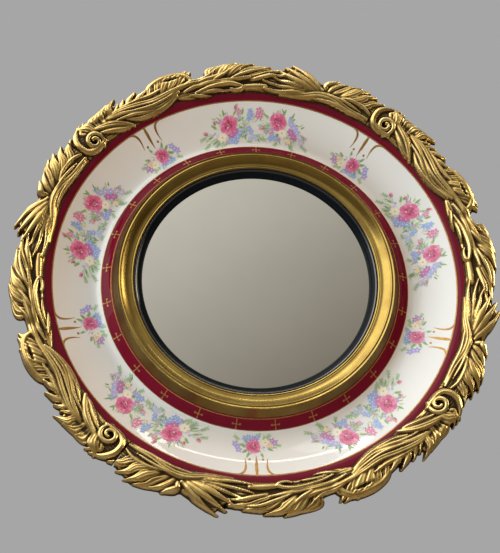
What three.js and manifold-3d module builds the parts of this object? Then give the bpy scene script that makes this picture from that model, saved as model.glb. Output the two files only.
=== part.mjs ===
// Round girandole mirror that hangs on a wall: a shallow convex glass behind a black slip and a
// spun brass bezel, set in a dished porcelain ring, with four cast acanthus segments round the rim,
// all carried by a turned wooden ring. Millimetres, +Z up. The front faces -Y and the wall is the
// plane Y = 0, so a depth here is a distance in front of the wall. The origin is the centre of that
// plane.
import * as THREE from 'three';
import { mergeVertices } from 'three/addons/utils/BufferGeometryUtils.js';
import Module from 'manifold-3d';

const wasm = await Module();
wasm.setup();

// ---------------------------------------------------------------- driving dimensions
// Clearances
const seatGap = 0.3; // between two pieces that rest on each other
const screwClearance = 0.3; // round a screw, stud or pin in its hole
const rimPlay = 0.8; // round the porcelain, the glass and the slip in their rebates
const overcut = 1; // how far a cutting tool reaches past the piece

// Wall pads and the back of the wooden ring
const padRadius = 8;
const padThickness = 1.7;
const padCount = 4;
const padFirstAngle = 45;
const rearRimWidth = 22; // flat rim at the back that faces the wall
const channelDepth = 8; // recess at the back for the hangers, nuts and turn buttons
const flangeThickness = 13.2;
const bodySetback = 6; // wooden body inside the porcelain's outer edge
const flangeReach = 12; // wooden flange outside the porcelain's outer edge
const woodUnderPorcelain = 1.2; // air between the wood and the porcelain trough

// Glass and what is stacked behind it
const glassRadius = 152.5; // a 305 mm plate
const glassThickness = 3;
const glassSagitta = 8;
const boardThickness = 4;
const boardLap = 8; // how far the backboard reaches past the glass opening
const cardThickness = 1.5;
const spacerHeight = 14.7;
const spacerWidth = 12;

// Black slip, on the edge of the glass
const slipCover = 6.7; // how far it laps over the glass
const slipReach = 8; // how far it reaches past the glass
const slipEdge = 0.9;
const slipHeight = 7.5;

// Brass bezel, from its lip on the slip to its foot on the porcelain
const bezelLipReach = 3.6; // lip outside the glass
const bezelLipThickness = 1.2;
const bezelCoveWidth = 20.1; // lip to rim
const bezelRise = 8.7; // rim above the slip
const bezelSkirtWidth = 7; // rim to foot
const bezelWall = 2.2;
const bossSetback = 6.8; // wooden boss inside the bezel's foot
const bossUnderBezel = 2.5;
const studRadius = 2;
const studSetback = 14.2; // stud circle inside the bezel's foot
const studCount = 4;
const studShort = 1.5; // stud end inside the back plane of the wood
const nutAcrossFlats = 7;
const nutThickness = 3.2;

// Porcelain ring: a dished trough between a level inner rim and a rounded outer rim
const porcelainRadius = 272;
const porcelainThickness = 5;
const innerRimWidth = 6.3;
const innerRimRise = 10.3; // inner rim above the lowest line of the trough
const bandWidth = 14; // painted band between the inner rim and the trough
const troughSetback = 10.7; // lowest line of the trough outside the painted band
const troughDepthFromWood = 23.3;
const outerEdgeSetback = 14; // line where the white ground ends, inside the outer edge
const outerEdgeRise = 22.7;
const outerRimRise = 26.1;
const outerSeatWidth = 10;
const outerSeatDrop = 6.5; // outer seat below the outer rim
const cushionThickness = 1.8;
const cushionInset = 0.8;

// Acanthus border
const borderLap = 6; // band over the porcelain's outer edge
const borderBandWidth = 24;
const borderBandThickness = 3;
const inletDepth = 2.2; // swing of the wavy inner edge
const inletCount = 6; // waves of the inner edge on one segment
const crownSetback = 11; // inner foot of the carving's crown, inside the porcelain's outer edge
const crownWidth = 60;
const crownEdge = 3;
const crownRise = 10.5;
const carvingUnit = 1; // length of one unit in the tables of leaves and ribbons
const strandStep = 14; // length of one facet along a strand
const foot = 2.2; // underside of the leaves and ribbons, inside the band
const bladeSteps = 2; // facets along a leaf
const sideThickness = 1.4; // of a leaf at its sides
const sideReach = 0.9; // degrees that a leaf spreads past its outer ridges
const valleyDrop = 2.6;
const segmentJointGap = 0.4;
const jointLead = 4.9; // degrees that a segment reaches past its own volute
const voluteAngles = [52, 140.3, 230.9, 322.8]; // counter-clockwise from +X, seen from the front
const voluteReach = 5.5; // volute circle outside the porcelain's outer edge
const voluteTurnRadius = 12.5;
const voluteEyeRadius = 3.4;
const voluteTurns = 1.45;
const voluteStart = -0.35; // half turns, where the spiral leaves the outer strand
const voluteWidths = [4, 5, 3.4];
const voluteLifts = [2, 2.5, 2];
const domeRadius = 11;
const domeHeight = 9;

// Fasteners
const borderScrewReach = 6.5; // screw circle outside the porcelain's outer edge
const borderScrewRadius = 2;
const borderScrewHeadRadius = 3.8;
const borderScrewHeadHeight = 2.6;
const borderScrewBite = 6; // length inside the casting
const borderScrewPlaces = [22, 62]; // degrees clockwise from each volute
const smallScrewRadius = 1.6;
const smallScrewHeadRadius = 3.3;
const smallScrewHeadHeight = 2;
const smallScrewBite = 6.5; // length inside the wood

// Turn buttons
const buttonCount = 4;
const buttonFirstAngle = 45;
const buttonSetback = 15.9; // pivot outside the edge of the backboard's recess
const buttonLength = 24; // pivot to tip
const buttonTail = 5.5;
const buttonCorner = 2; // bevel across each corner of the tail
const buttonWidth = 10;
const buttonThickness = 1.6;

// Strap hangers and their rings
const hangerSetback = 27.74; // pivot inside the edge of the rear channel
const hangerAngle = 31.19; // degrees above the horizontal
const strapWidth = 14;
const strapThickness = 1.2;
const strapLength = 44;
const strapScrewRises = [17, 6]; // above the strap's lower end
const ringWire = 1.75;
const ringHalfWidth = 11;
const ringDrop = 18;
const ringCorner = 3.5;

const visibleSides = 40;
const hiddenSides = 28;

// ---------------------------------------------------------------- depths in front of the wall
const woodBack = padThickness + seatGap;
const channelFloor = woodBack + channelDepth;
const boardBack = channelFloor + seatGap;
const boardFront = boardBack + boardThickness;
const boardRecess = boardFront + seatGap;
const cardBack = boardFront + seatGap;
const cardFront = cardBack + cardThickness;
const spacerBack = cardFront + seatGap;
const spacerFront = spacerBack + spacerHeight;
const glassBack = spacerFront + seatGap;
const glassFront = glassBack + glassThickness;
const slipBack = glassFront + seatGap;
const slipTop = slipBack + slipHeight;
const bezelLipBack = slipTop + seatGap;
const bezelRim = bezelLipBack + bezelRise;
const bossTop = bezelLipBack - bossUnderBezel;
const trough = woodBack + troughDepthFromWood;
const innerRim = trough + innerRimRise;
const outerEdge = trough + outerEdgeRise;
const outerRim = trough + outerRimRise;
const bezelFoot = innerRim + seatGap;
const innerSeat = innerRim - porcelainThickness;
const outerSeat = outerRim - outerSeatDrop;
const woodInnerSeat = innerSeat - cushionThickness - 2 * seatGap;
const woodOuterSeat = outerSeat - cushionThickness - 2 * seatGap;
const borderBack = outerRim + 2 * seatGap;
const flangeTop = borderBack - seatGap;
const flangeBack = flangeTop - flangeThickness;

// ---------------------------------------------------------------- radii that follow from the fits
const slipInnerRadius = glassRadius - slipCover;
const slipRadius = glassRadius + slipReach;
const openingRadius = glassRadius + rimPlay;
const boardRadius = openingRadius + boardLap;
const boardRecessRadius = boardRadius + rimPlay;
const buttonPivotCircle = boardRecessRadius + buttonSetback;
const slipRecessRadius = slipRadius + rimPlay;
const bezelLipRadius = glassRadius + bezelLipReach;
const bezelRimRadius = bezelLipRadius + bezelCoveWidth;
const bezelFootRadius = bezelRimRadius + bezelSkirtWidth;
const bossRadius = bezelFootRadius - bossSetback;
const studCircle = bezelFootRadius - studSetback;
const porcelainInnerRadius = bossRadius + rimPlay;
const innerRimRadius = porcelainInnerRadius + innerRimWidth;
const bandOuterRadius = innerRimRadius + bandWidth;
const troughRadius = bandOuterRadius + troughSetback;
const outerEdgeRadius = porcelainRadius - outerEdgeSetback;
const outerSeatRadius = porcelainRadius - outerSeatWidth;
const rebateRadius = porcelainRadius + rimPlay;
const woodBodyRadius = porcelainRadius - bodySetback;
const woodFlangeRadius = porcelainRadius + flangeReach;
const channelRadius = woodBodyRadius - rearRimWidth;
const padCircle = woodBodyRadius - rearRimWidth / 2;
const hangerCircle = channelRadius - hangerSetback;
const borderInnerRadius = porcelainRadius - borderLap;
const borderBandRadius = borderInnerRadius + borderBandWidth;
const crownInnerRadius = porcelainRadius - crownSetback;
const voluteRadius = porcelainRadius + voluteReach;
const borderScrewCircle = porcelainRadius + borderScrewReach;

// ---------------------------------------------------------------- materials
function finish(color, roughness, metalness) {
  return new THREE.MeshStandardMaterial({ color, roughness, metalness });
}

const antiqueGold = () => finish(0xb08a3c, 0.35, 1);
const brass = () => finish(0xb5903f, 0.22, 1);
const porcelain = () => finish(0xe1e0da, 0.12, 0);
const blackLacquer = () => finish(0x0c1012, 0.15, 0);
const mirrorGlass = () => finish(0xb8b5ad, 0.04, 1);
const turnedWood = () => finish(0x7a5232, 0.6, 0);
const plywood = () => finish(0xb08d62, 0.7, 0);
const greyCard = () => finish(0x8f8a80, 0.9, 0);
const felt = () => finish(0x3b3a38, 0.95, 0);
const screwSteel = () => finish(0x9a9a98, 0.35, 1);

// ---------------------------------------------------------------- solids
// A geometry with its shared corners merged, no flat triangles, and its faces pointing outwards.
function clean(geometry) {
  geometry.deleteAttribute('normal');
  geometry.deleteAttribute('uv');
  const merged = mergeVertices(geometry, 1e-4);
  const position = merged.getAttribute('position');
  const index = merged.getIndex().array;
  const kept = [];
  for (let i = 0; i < index.length; i += 3) {
    const [a, b, c] = [index[i], index[i + 1], index[i + 2]];
    if (a !== b && b !== c && c !== a) kept.push(a, b, c);
  }
  const [pa, pb, pc] = [new THREE.Vector3(), new THREE.Vector3(), new THREE.Vector3()];
  let volume = 0;
  for (let i = 0; i < kept.length; i += 3) {
    pa.fromBufferAttribute(position, kept[i]);
    pb.fromBufferAttribute(position, kept[i + 1]);
    pc.fromBufferAttribute(position, kept[i + 2]);
    volume += pa.dot(pb.cross(pc));
  }
  if (volume < 0) {
    for (let i = 0; i < kept.length; i += 3) [kept[i], kept[i + 1]] = [kept[i + 1], kept[i]];
  }
  merged.setIndex(kept);
  return merged;
}

function toSolid(geometry) {
  const closed = clean(geometry);
  const mesh = new wasm.Mesh({
    numProp: 3,
    vertProperties: new Float32Array(closed.getAttribute('position').array),
    triVerts: new Uint32Array(closed.getIndex().array),
  });
  return new wasm.Manifold(mesh);
}

function toGeometry(solid) {
  const mesh = solid.getMesh();
  const geometry = new THREE.BufferGeometry();
  geometry.setAttribute('position', new THREE.BufferAttribute(mesh.vertProperties, 3));
  geometry.setIndex(new THREE.BufferAttribute(mesh.triVerts, 1));
  return geometry;
}

function cut(base, tools) {
  let solid = toSolid(base);
  for (const tool of tools) solid = solid.subtract(toSolid(tool));
  return toGeometry(solid);
}

// The largest body of a join, without the specks that crossing strands can leave.
function largest(solid) {
  const bodies = solid.decompose();
  return bodies.reduce((best, body) => (body.volume() > best.volume() ? body : best));
}

// A turned piece: the profile holds [radius, depth] points, closed on itself or on the axis.
function turned(profile, sides = visibleSides) {
  const points = profile.map(([radius, depth]) => new THREE.Vector2(radius, -depth));
  const onAxis = profile[0][0] === 0 && profile.at(-1)[0] === 0;
  if (!onAxis) points.push(points[0].clone());
  return clean(new THREE.LatheGeometry(points, sides));
}

function washer(inner, outer, back, front, sides = hiddenSides) {
  return turned([[inner, back], [outer, back], [outer, front], [inner, front]], sides);
}

function disc(radius, back, front, sides = visibleSides) {
  return turned([[0, back], [radius, back], [radius, front], [0, front]], sides);
}

// A straight hole or pin along the depth, at a place on the face of the mirror.
function rod(radius, back, front, x, z, sides = 8) {
  const shape = new THREE.CylinderGeometry(radius, radius, front - back, sides);
  return shape.translate(x, -(back + front) / 2, z);
}

function onCircle(radius, degrees) {
  const angle = THREE.MathUtils.degToRad(degrees);
  return [radius * Math.cos(angle), radius * Math.sin(angle)];
}

function smooth(points, steps) {
  const curve = new THREE.SplineCurve(points.map(([x, y]) => new THREE.Vector2(x, y)));
  return curve.getPoints(steps).map((point) => [point.x, point.y]);
}

const mirror = new THREE.Group();

function add(name, geometry, material) {
  const mesh = new THREE.Mesh(geometry, material);
  mesh.name = name;
  mirror.add(mesh);
  return mesh;
}

// ---------------------------------------------------------------- porcelain ring
const troughLine = smooth(
  [
    [innerRimRadius, innerRim],
    [innerRimRadius + bandWidth * 0.45, innerRim - innerRimRise * 0.42],
    [bandOuterRadius, trough + innerRimRise * 0.2],
    [troughRadius, trough],
    [(troughRadius + outerEdgeRadius) / 2, trough + outerEdgeRise * 0.42],
    [outerEdgeRadius, outerEdge],
  ],
  7,
);

function troughUnderside(drop, inner, outer) {
  return troughLine
    .filter(([radius], i) => i % 2 === 0 && radius > inner && radius < outer)
    .map(([radius, depth]) => [radius, depth - drop])
    .reverse();
}

add(
  'porcelain_ring',
  turned([
    [porcelainInnerRadius, innerRim],
    ...troughLine,
    [porcelainRadius - 5, outerRim - 0.5],
    [porcelainRadius - 2, outerRim],
    [porcelainRadius, outerRim - 1.5],
    [porcelainRadius, outerSeat],
    [outerSeatRadius, outerSeat],
    ...troughUnderside(porcelainThickness, innerRimRadius + 3, outerSeatRadius - 2),
    [innerRimRadius + 2, innerSeat],
    [porcelainInnerRadius, innerSeat],
  ]),
  porcelain(),
);

add(
  'inner_cushion_ring',
  washer(
    porcelainInnerRadius + cushionInset,
    innerRimRadius + 2 - cushionInset,
    woodInnerSeat + seatGap,
    innerSeat - seatGap,
    visibleSides,
  ),
  felt(),
);

add(
  'outer_cushion_ring',
  washer(
    outerSeatRadius + cushionInset,
    porcelainRadius - cushionInset,
    woodOuterSeat + seatGap,
    outerSeat - seatGap,
    visibleSides,
  ),
  felt(),
);

// ---------------------------------------------------------------- glass and its backing
function glassFace(edgeDepth) {
  const curvature = (glassRadius ** 2 + glassSagitta ** 2) / (2 * glassSagitta);
  return (radius) => edgeDepth + Math.sqrt(curvature ** 2 - radius ** 2) - curvature + glassSagitta;
}

const frontFace = glassFace(glassFront);
const backFace = glassFace(glassBack);
const glassRings = [0.4, 0.7, 1].map((share) => share * glassRadius);
add(
  'mirror_glass',
  turned([
    [0, frontFace(0)],
    ...glassRings.map((radius) => [radius, frontFace(radius)]),
    ...glassRings.toReversed().map((radius) => [radius, backFace(radius)]),
    [0, backFace(0)],
  ]),
  mirrorGlass(),
);

add(
  'glass_spacer_ring',
  washer(glassRadius - spacerWidth, glassRadius - seatGap, spacerBack, spacerFront),
  plywood(),
);
add('backing_card', disc(glassRadius - seatGap, cardBack, cardFront, hiddenSides), greyCard());
add('backboard', disc(boardRadius, boardBack, boardFront), plywood());

add(
  'slip_ring',
  turned([
    [glassRadius, slipBack],
    [slipInnerRadius, frontFace(slipInnerRadius) + seatGap],
    [slipInnerRadius, frontFace(slipInnerRadius) + seatGap + slipEdge],
    [bezelLipRadius + 0.5, slipTop],
    [slipRadius, slipTop],
    [slipRadius, slipBack],
  ]),
  blackLacquer(),
);

// ---------------------------------------------------------------- brass bezel and its nuts
const lipFront = bezelLipBack + bezelLipThickness;
const coveDepth = bezelRim - lipFront;
const bezelShell = turned([
  [bezelLipRadius, bezelLipBack],
  [bezelLipRadius, lipFront],
  [bezelLipRadius + 1.6, lipFront + 0.5],
  [bezelLipRadius + 6, lipFront + coveDepth * 0.08],
  [bezelLipRadius + 11.5, lipFront + coveDepth * 0.42],
  [bezelLipRadius + 15.2, bezelRim - 0.8],
  [bezelRimRadius - 1.5, bezelRim - 0.3],
  [bezelRimRadius, bezelRim],
  [bezelFootRadius - 3.4, (bezelRim + bezelFoot) / 2 + 1.2],
  [bezelFootRadius, bezelFoot],
  [bezelFootRadius - bezelWall, bezelFoot],
  [bezelFootRadius - 3.2 - bezelWall, (bezelRim + bezelFoot) / 2],
  [bezelRimRadius - bezelWall, bezelRim - bezelWall * 1.4],
  [bezelLipRadius + 16, bezelRim - bezelWall * 1.5],
  [bezelLipRadius + 9, bezelLipBack],
]);
const studEnd = woodBack + studShort;
const studRoot = bezelRim - bezelWall * 1.5;
let bezelSolid = toSolid(bezelShell);
const studPlaces = [];
for (let i = 0; i < studCount; i += 1) {
  const [x, z] = onCircle(studCircle, (360 / studCount) * i);
  studPlaces.push([x, z]);
  bezelSolid = bezelSolid.add(toSolid(rod(studRadius, studEnd, studRoot, x, z)));
}
add('brass_bezel', toGeometry(bezelSolid), brass());

const nutShape = new THREE.CylinderGeometry(
  nutAcrossFlats / Math.sqrt(3),
  nutAcrossFlats / Math.sqrt(3),
  nutThickness,
  6,
);
const nutBore = rod(studRadius + screwClearance, -nutThickness, nutThickness, 0, 0);
const nutGeometry = cut(nutShape, [nutBore]);
const nutMiddle = channelFloor - seatGap - nutThickness / 2;
studPlaces.forEach(([x, z], i) => {
  add(`bezel_nut_${i + 1}`, nutGeometry, screwSteel()).position.set(x, -nutMiddle, z);
});

// ---------------------------------------------------------------- acanthus border
// A place on a segment is [degrees clockwise from its volute, units outwards from the volute
// circle], and widths, lifts and notches are in the same units. The casting is a low band
// that carries leaf blades, whose ridges fan out to the tips, and sharp-backed ribbons that run
// along the border between them.
const leaves = [
  // the pointed leaf over the volute and its hooked flames
  {
    root: [[0.5, -5.5], [2.5, 2.5]],
    tips: [[-3.6, 7.5], [-3, 18.5], [0.7, 31.5]],
    bow: 1.2,
    notch: 0.5,
  },
  {
    root: [[1.5, 3.5], [9, 6.5]],
    tips: [[0.9, 33.5], [5.6, 29], [8.2, 32.5], [10.7, 34.5]],
    bow: -0.9,
    notch: 3,
  },
  {
    root: [[10.5, 7.5], [16.5, 2.5]],
    tips: [[13, 24.5], [16.6, 25.7], [20, 19.5]],
    bow: -0.6,
    notch: 2,
  },
  // the round leaf that rolls forward
  {
    root: [[21, 0.5], [29, 2.5]],
    tips: [[21.6, 25.5], [24.2, 34], [27.3, 35.5], [30.4, 34.5], [32.6, 26.5]],
    bow: -0.4,
    notch: 1.6,
  },
  // the leaf that lies down clockwise
  {
    root: [[36.5, 3.5], [49, 1.5]],
    tips: [[38.8, 20.5], [41.8, 33], [45.2, 35], [49.2, 30], [53.4, 24.5], [57.4, 21.5]],
    bow: -1.1,
    notch: 2,
  },
  // the shell-like fan that opens the other way
  {
    root: [[69.8, 8.5], [67, -5.5]],
    tips: [[61.9, 37.5], [59.6, 25.5], [56.6, 16.5], [54.4, 6.5], [55, -7]],
    bow: 1,
    notch: 2.2,
  },
  // the feathered leaf before the next volute
  {
    root: [[69.6, 6.5], [78.5, -1.5]],
    tips: [[71.8, 27], [77, 33.5], [80.3, 36.5], [82.8, 30.5], [85, 25.5]],
    bow: -1.2,
    notch: 2.2,
  },
];
const ridgeLifts = [0, 2.4, 1];

const ribbons = [
  // the outer strand of the volute, from the pointed leaf round to the inner edge
  {
    path: [[0.9, 33.5], [-1.8, 26.5], [-3.7, 15.5], [-4.2, 5.5], [-3.6, -3], [-1.8, -8], [1, -9.5]],
    widths: [2, 8, 3],
    lifts: [0.5, 3, 1],
  },
  {
    path: [[1.5, 13.5], [4.5, 8.5], [8.5, -1.5], [12.4, -13]],
    widths: [4, 7, 1.6],
    lifts: [1, 2.5, 1],
  },
  {
    path: [[7.5, 12.5], [12, 5.5], [17, -5], [21, -9.5], [25, -6], [28.5, 2]],
    widths: [3, 8, 3],
    lifts: [0.5, 3, 1],
  },
  {
    path: [[4.5, 16.5], [11, 14.5], [16.5, 7.5], [21.5, 2.5], [26.5, 4.5], [31.5, 10]],
    widths: [3, 8, 4],
    lifts: [1, 3.5, 1],
  },
  // the rolled rim of the round leaf
  {
    path: [[21.6, 22.5], [23.2, 30.5], [26.8, 33], [30.6, 30.5], [32.2, 20.5]],
    widths: [4, 8, 4],
    lifts: [2, 5.5, 2],
  },
  // stems that cross the gap to the next leaf
  {
    path: [[28, 4], [33, 9.5], [37.5, 10.5], [42.5, 21.5]],
    widths: [3, 7, 3],
    lifts: [1, 2, 2],
  },
  {
    path: [[30, -2.5], [34.5, 2.5], [40, 3.5], [50.5, 8.5]],
    widths: [3, 7, 3],
    lifts: [1, 2.5, 1],
  },
  // the long ribbon under the fan and the feathered leaf
  {
    path: [[57.5, -11.1], [63.5, -9.5], [69, -1.9], [73.5, -1.5], [79, -5.9], [84.6, -5]],
    widths: [3, 8.5, 5],
    lifts: [0, 2.5, 0.5],
  },
];

function crown(radius) {
  const share = (radius - crownInnerRadius) / crownWidth;
  return crownEdge + crownRise * Math.sin(Math.PI * THREE.MathUtils.clamp(share, 0, 1));
}

// Three values read as start, middle and end, blended along a strand.
function along([start, middle, end], t) {
  const bell = 4 * t * (1 - t);
  return (start * (1 - t) + end * t) * (1 - bell) + middle * bell;
}

// A place on the segment rolled out flat: arc length at the volute's radius, and radius.
function toFlat([angle, outwards]) {
  const arc = THREE.MathUtils.degToRad(angle) * voluteRadius;
  return new THREE.Vector2(arc, voluteRadius + outwards * carvingUnit);
}

// One strand as rings of three corners: two feet and a sharp crest.
function strand(place, path, widths, lifts) {
  const curve = new THREE.SplineCurve(path.map(toFlat));
  const steps = Math.max(2, Math.round(curve.getLength() / strandStep));
  const corners = [];
  for (let i = 0; i <= steps; i += 1) {
    const t = i / steps;
    const point = curve.getPoint(t);
    const side = curve.getTangent(t).rotateAround(new THREE.Vector2(), Math.PI / 2);
    const half = (along(widths, t) * carvingUnit) / 2;
    const lift = along(lifts, t) * carvingUnit;
    const crest = Math.max(foot + sideThickness, crown(point.y) + lift);
    const left = point.clone().addScaledVector(side, half);
    const right = point.clone().addScaledVector(side, -half);
    corners.push(place(left.x, left.y, foot));
    corners.push(place(point.x, point.y, crest));
    corners.push(place(right.x, right.y, foot));
  }
  const faces = [0, 1, 2];
  for (let i = 0; i < steps; i += 1) {
    for (let k = 0; k < 3; k += 1) {
      const a = 3 * i + k;
      const b = 3 * i + ((k + 1) % 3);
      faces.push(a, a + 3, b, b, a + 3, b + 3);
    }
  }
  const last = 3 * steps;
  faces.push(last, last + 2, last + 1);
  return fromCorners(corners, faces);
}

function fromCorners(corners, faces) {
  const geometry = new THREE.BufferGeometry();
  geometry.setAttribute('position', new THREE.Float32BufferAttribute(corners.flat(), 3));
  geometry.setIndex(faces);
  return geometry;
}

// The lines of a leaf blade, from its root to its edge: a ridge to each tip, a valley to each
// notch between two tips, and a low line down each side.
function leafLines(leaf) {
  const last = leaf.tips.length - 1;
  const mix = (from, to, t) => from.map((value, k) => THREE.MathUtils.lerp(value, to[k], t));
  const line = (share, end, kind) => {
    const start = mix(leaf.root[0], leaf.root[1], share);
    const middle = [(start[0] + end[0]) / 2 - leaf.bow, (start[1] + end[1]) / 2];
    return { path: [start, middle, end], kind };
  };
  const beyond = (tip, neighbour) => {
    const turn = Math.sign(tip[0] - neighbour[0]) * sideReach;
    return [tip[0] + turn, tip[1] - 2 * leaf.notch];
  };
  const lines = [line(-0.06, beyond(leaf.tips[0], leaf.tips[1]), 'side')];
  leaf.tips.forEach((tip, i) => {
    if (i > 0) {
      const [angle, outwards] = mix(leaf.tips[i - 1], tip, 0.5);
      lines.push(line((i - 0.5) / last, [angle, outwards - leaf.notch], 'valley'));
    }
    lines.push(line(i / last, tip, 'ridge'));
  });
  lines.push(line(1.06, beyond(leaf.tips[last], leaf.tips[last - 1]), 'side'));
  return lines;
}

// A closed blade over those lines: its back follows its front down at the level of the feet.
function blade(place, leaf) {
  const lines = leafLines(leaf);
  const corners = [];
  for (const { path, kind } of lines) {
    const curve = new THREE.SplineCurve(path.map(toFlat));
    for (let j = 0; j <= bladeSteps; j += 1) {
      const t = j / bladeSteps;
      const point = curve.getPoint(t);
      const tops = {
        ridge: crown(point.y) + along(ridgeLifts, t) * carvingUnit,
        valley: crown(point.y) - valleyDrop,
        side: foot + sideThickness,
      };
      const top = Math.max(foot + sideThickness, tops[kind]);
      corners.push(place(point.x, point.y, foot), place(point.x, point.y, top));
    }
  }
  const row = 2 * (bladeSteps + 1);
  const faces = [];
  const quad = (a, b, c, d) => faces.push(a, b, c, a, c, d);
  for (let i = 0; i < lines.length - 1; i += 1) {
    for (let j = 0; j < bladeSteps; j += 1) {
      const here = i * row + 2 * j;
      quad(here, here + 2, here + row + 2, here + row);
      quad(here + 1, here + row + 1, here + row + 3, here + 3);
    }
    const root = i * row;
    const edge = root + 2 * bladeSteps;
    quad(root, root + row, root + row + 1, root + 1);
    quad(edge, edge + 1, edge + row + 1, edge + row);
  }
  for (const [start, flip] of [[0, false], [(lines.length - 1) * row, true]]) {
    for (let j = 0; j < bladeSteps; j += 1) {
      const here = start + 2 * j;
      if (flip) quad(here, here + 2, here + 3, here + 1);
      else quad(here, here + 1, here + 3, here + 2);
    }
  }
  return fromCorners(corners, faces);
}

function voluteTurn() {
  const samples = Math.round(voluteTurns * 12);
  const path = [];
  for (let i = 0; i <= samples; i += 1) {
    const t = i / samples;
    const angle = (voluteStart + 2 * voluteTurns * t) * Math.PI;
    const reach = THREE.MathUtils.lerp(voluteTurnRadius, voluteEyeRadius, t);
    const degrees = THREE.MathUtils.radToDeg((reach * Math.cos(angle)) / voluteRadius);
    path.push([degrees, (reach * Math.sin(angle)) / carvingUnit]);
  }
  return path;
}

// The low band under the strands, with its wavy inner edge.
function band(place, from, to) {
  const steps = inletCount * 3;
  const corners = [];
  for (let i = 0; i <= steps; i += 1) {
    const angle = THREE.MathUtils.lerp(from, to, i / steps);
    const arc = THREE.MathUtils.degToRad(angle) * voluteRadius;
    const inner = borderInnerRadius + inletDepth * Math.cos((2 * Math.PI * inletCount * i) / steps);
    corners.push(place(arc, inner, 0), place(arc, inner, borderBandThickness));
    corners.push(place(arc, borderBandRadius, borderBandThickness), place(arc, borderBandRadius, 0));
  }
  const faces = [0, 1, 2, 0, 2, 3];
  for (let i = 0; i < steps; i += 1) {
    for (let k = 0; k < 4; k += 1) {
      const a = 4 * i + k;
      const b = 4 * i + ((k + 1) % 4);
      faces.push(a, a + 4, b, b, a + 4, b + 4);
    }
  }
  const last = 4 * steps;
  faces.push(last, last + 2, last + 1, last, last + 3, last + 2);
  return fromCorners(corners, faces);
}

function segment(start, span) {
  const stretch = span / 90;
  const place = (arc, radius, height) => {
    const clockwise = THREE.MathUtils.radToDeg(arc / voluteRadius) * stretch;
    const [x, z] = onCircle(radius, start - clockwise);
    return [x, -(borderBack + height), z];
  };
  const gapAngle = THREE.MathUtils.radToDeg(segmentJointGap / 2 / voluteRadius) / stretch;
  const from = -jointLead / stretch + gapAngle;
  const to = (span - jointLead) / stretch - gapAngle;
  const pieces = [toSolid(band(place, from, to))];
  for (const leaf of leaves) pieces.push(toSolid(blade(place, leaf)));
  for (const { path, widths, lifts } of ribbons) {
    pieces.push(toSolid(strand(place, path, widths, lifts)));
  }
  pieces.push(toSolid(strand(place, voluteTurn(), voluteWidths, voluteLifts)));
  const [domeX, domeZ] = onCircle(voluteRadius, start);
  pieces.push(toSolid(rod(domeRadius, borderBack + foot, borderBack + domeHeight, domeX, domeZ, 12)));

  const wedge = [[0, 0]];
  for (const share of [0, 0.25, 0.5, 0.75, 1]) {
    const angle = THREE.MathUtils.lerp(from, to, share) * stretch;
    wedge.push(onCircle((crownInnerRadius + crownWidth) * 1.2, start - angle));
  }
  const outline = new THREE.Shape(wedge.map(([x, z]) => new THREE.Vector2(x, z)));
  const block = new THREE.ExtrudeGeometry(outline, { depth: 3 * borderBack, bevelEnabled: false });
  block.rotateX(Math.PI / 2);

  let solid = wasm.Manifold.union(pieces).intersect(toSolid(block));
  for (const angle of borderScrewPlaces) {
    const [x, z] = onCircle(borderScrewCircle, start - angle * stretch);
    const bore = borderScrewRadius + screwClearance;
    const end = borderBack + borderScrewBite + screwClearance + seatGap;
    solid = solid.subtract(toSolid(rod(bore, borderBack - overcut, end, x, z)));
  }
  return toGeometry(largest(solid));
}

const borderScrewSpots = [];
voluteAngles.forEach((start, i) => {
  const next = voluteAngles[(i + voluteAngles.length - 1) % voluteAngles.length];
  const span = (start - next + 360) % 360;
  add(`acanthus_segment_${i + 1}`, segment(start, span), antiqueGold());
  for (const angle of borderScrewPlaces) {
    borderScrewSpots.push(onCircle(borderScrewCircle, start - (angle * span) / 90));
  }
});

// ---------------------------------------------------------------- screws
// A dome-headed wood screw whose head sits on the plane at depth zero and whose shank runs forward.
function screw(shank, length, head, height) {
  return turned(
    [
      [0, -height],
      [head * 0.7, -height * 0.8],
      [head, 0],
      [shank, 0],
      [shank, length - shank],
      [0, length],
    ],
    8,
  );
}

const borderScrew = screw(
  borderScrewRadius,
  flangeThickness + 2 * seatGap + borderScrewBite,
  borderScrewHeadRadius,
  borderScrewHeadHeight,
);
borderScrewSpots.forEach(([x, z], i) => {
  add(`border_screw_${i + 1}`, borderScrew, screwSteel()).position.set(x, -(flangeBack - seatGap), z);
});

// ---------------------------------------------------------------- turn buttons
const buttonBack = channelFloor - seatGap - buttonThickness;
function buttonShape() {
  const half = buttonWidth / 2;
  const outline = new THREE.Shape();
  outline.moveTo(-buttonTail + buttonCorner, -half);
  outline.lineTo(buttonLength - half, -half);
  outline.absarc(buttonLength - half, 0, half, -Math.PI / 2, Math.PI / 2, false);
  outline.lineTo(-buttonTail + buttonCorner, half);
  outline.lineTo(-buttonTail, half - buttonCorner);
  outline.lineTo(-buttonTail, -half + buttonCorner);
  const bore = new THREE.Path();
  bore.absarc(0, 0, smallScrewRadius + screwClearance, 0, 2 * Math.PI, true);
  outline.holes.push(bore);
  return new THREE.ExtrudeGeometry(outline, {
    depth: buttonThickness,
    bevelEnabled: false,
    curveSegments: 5,
  });
}

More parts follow.
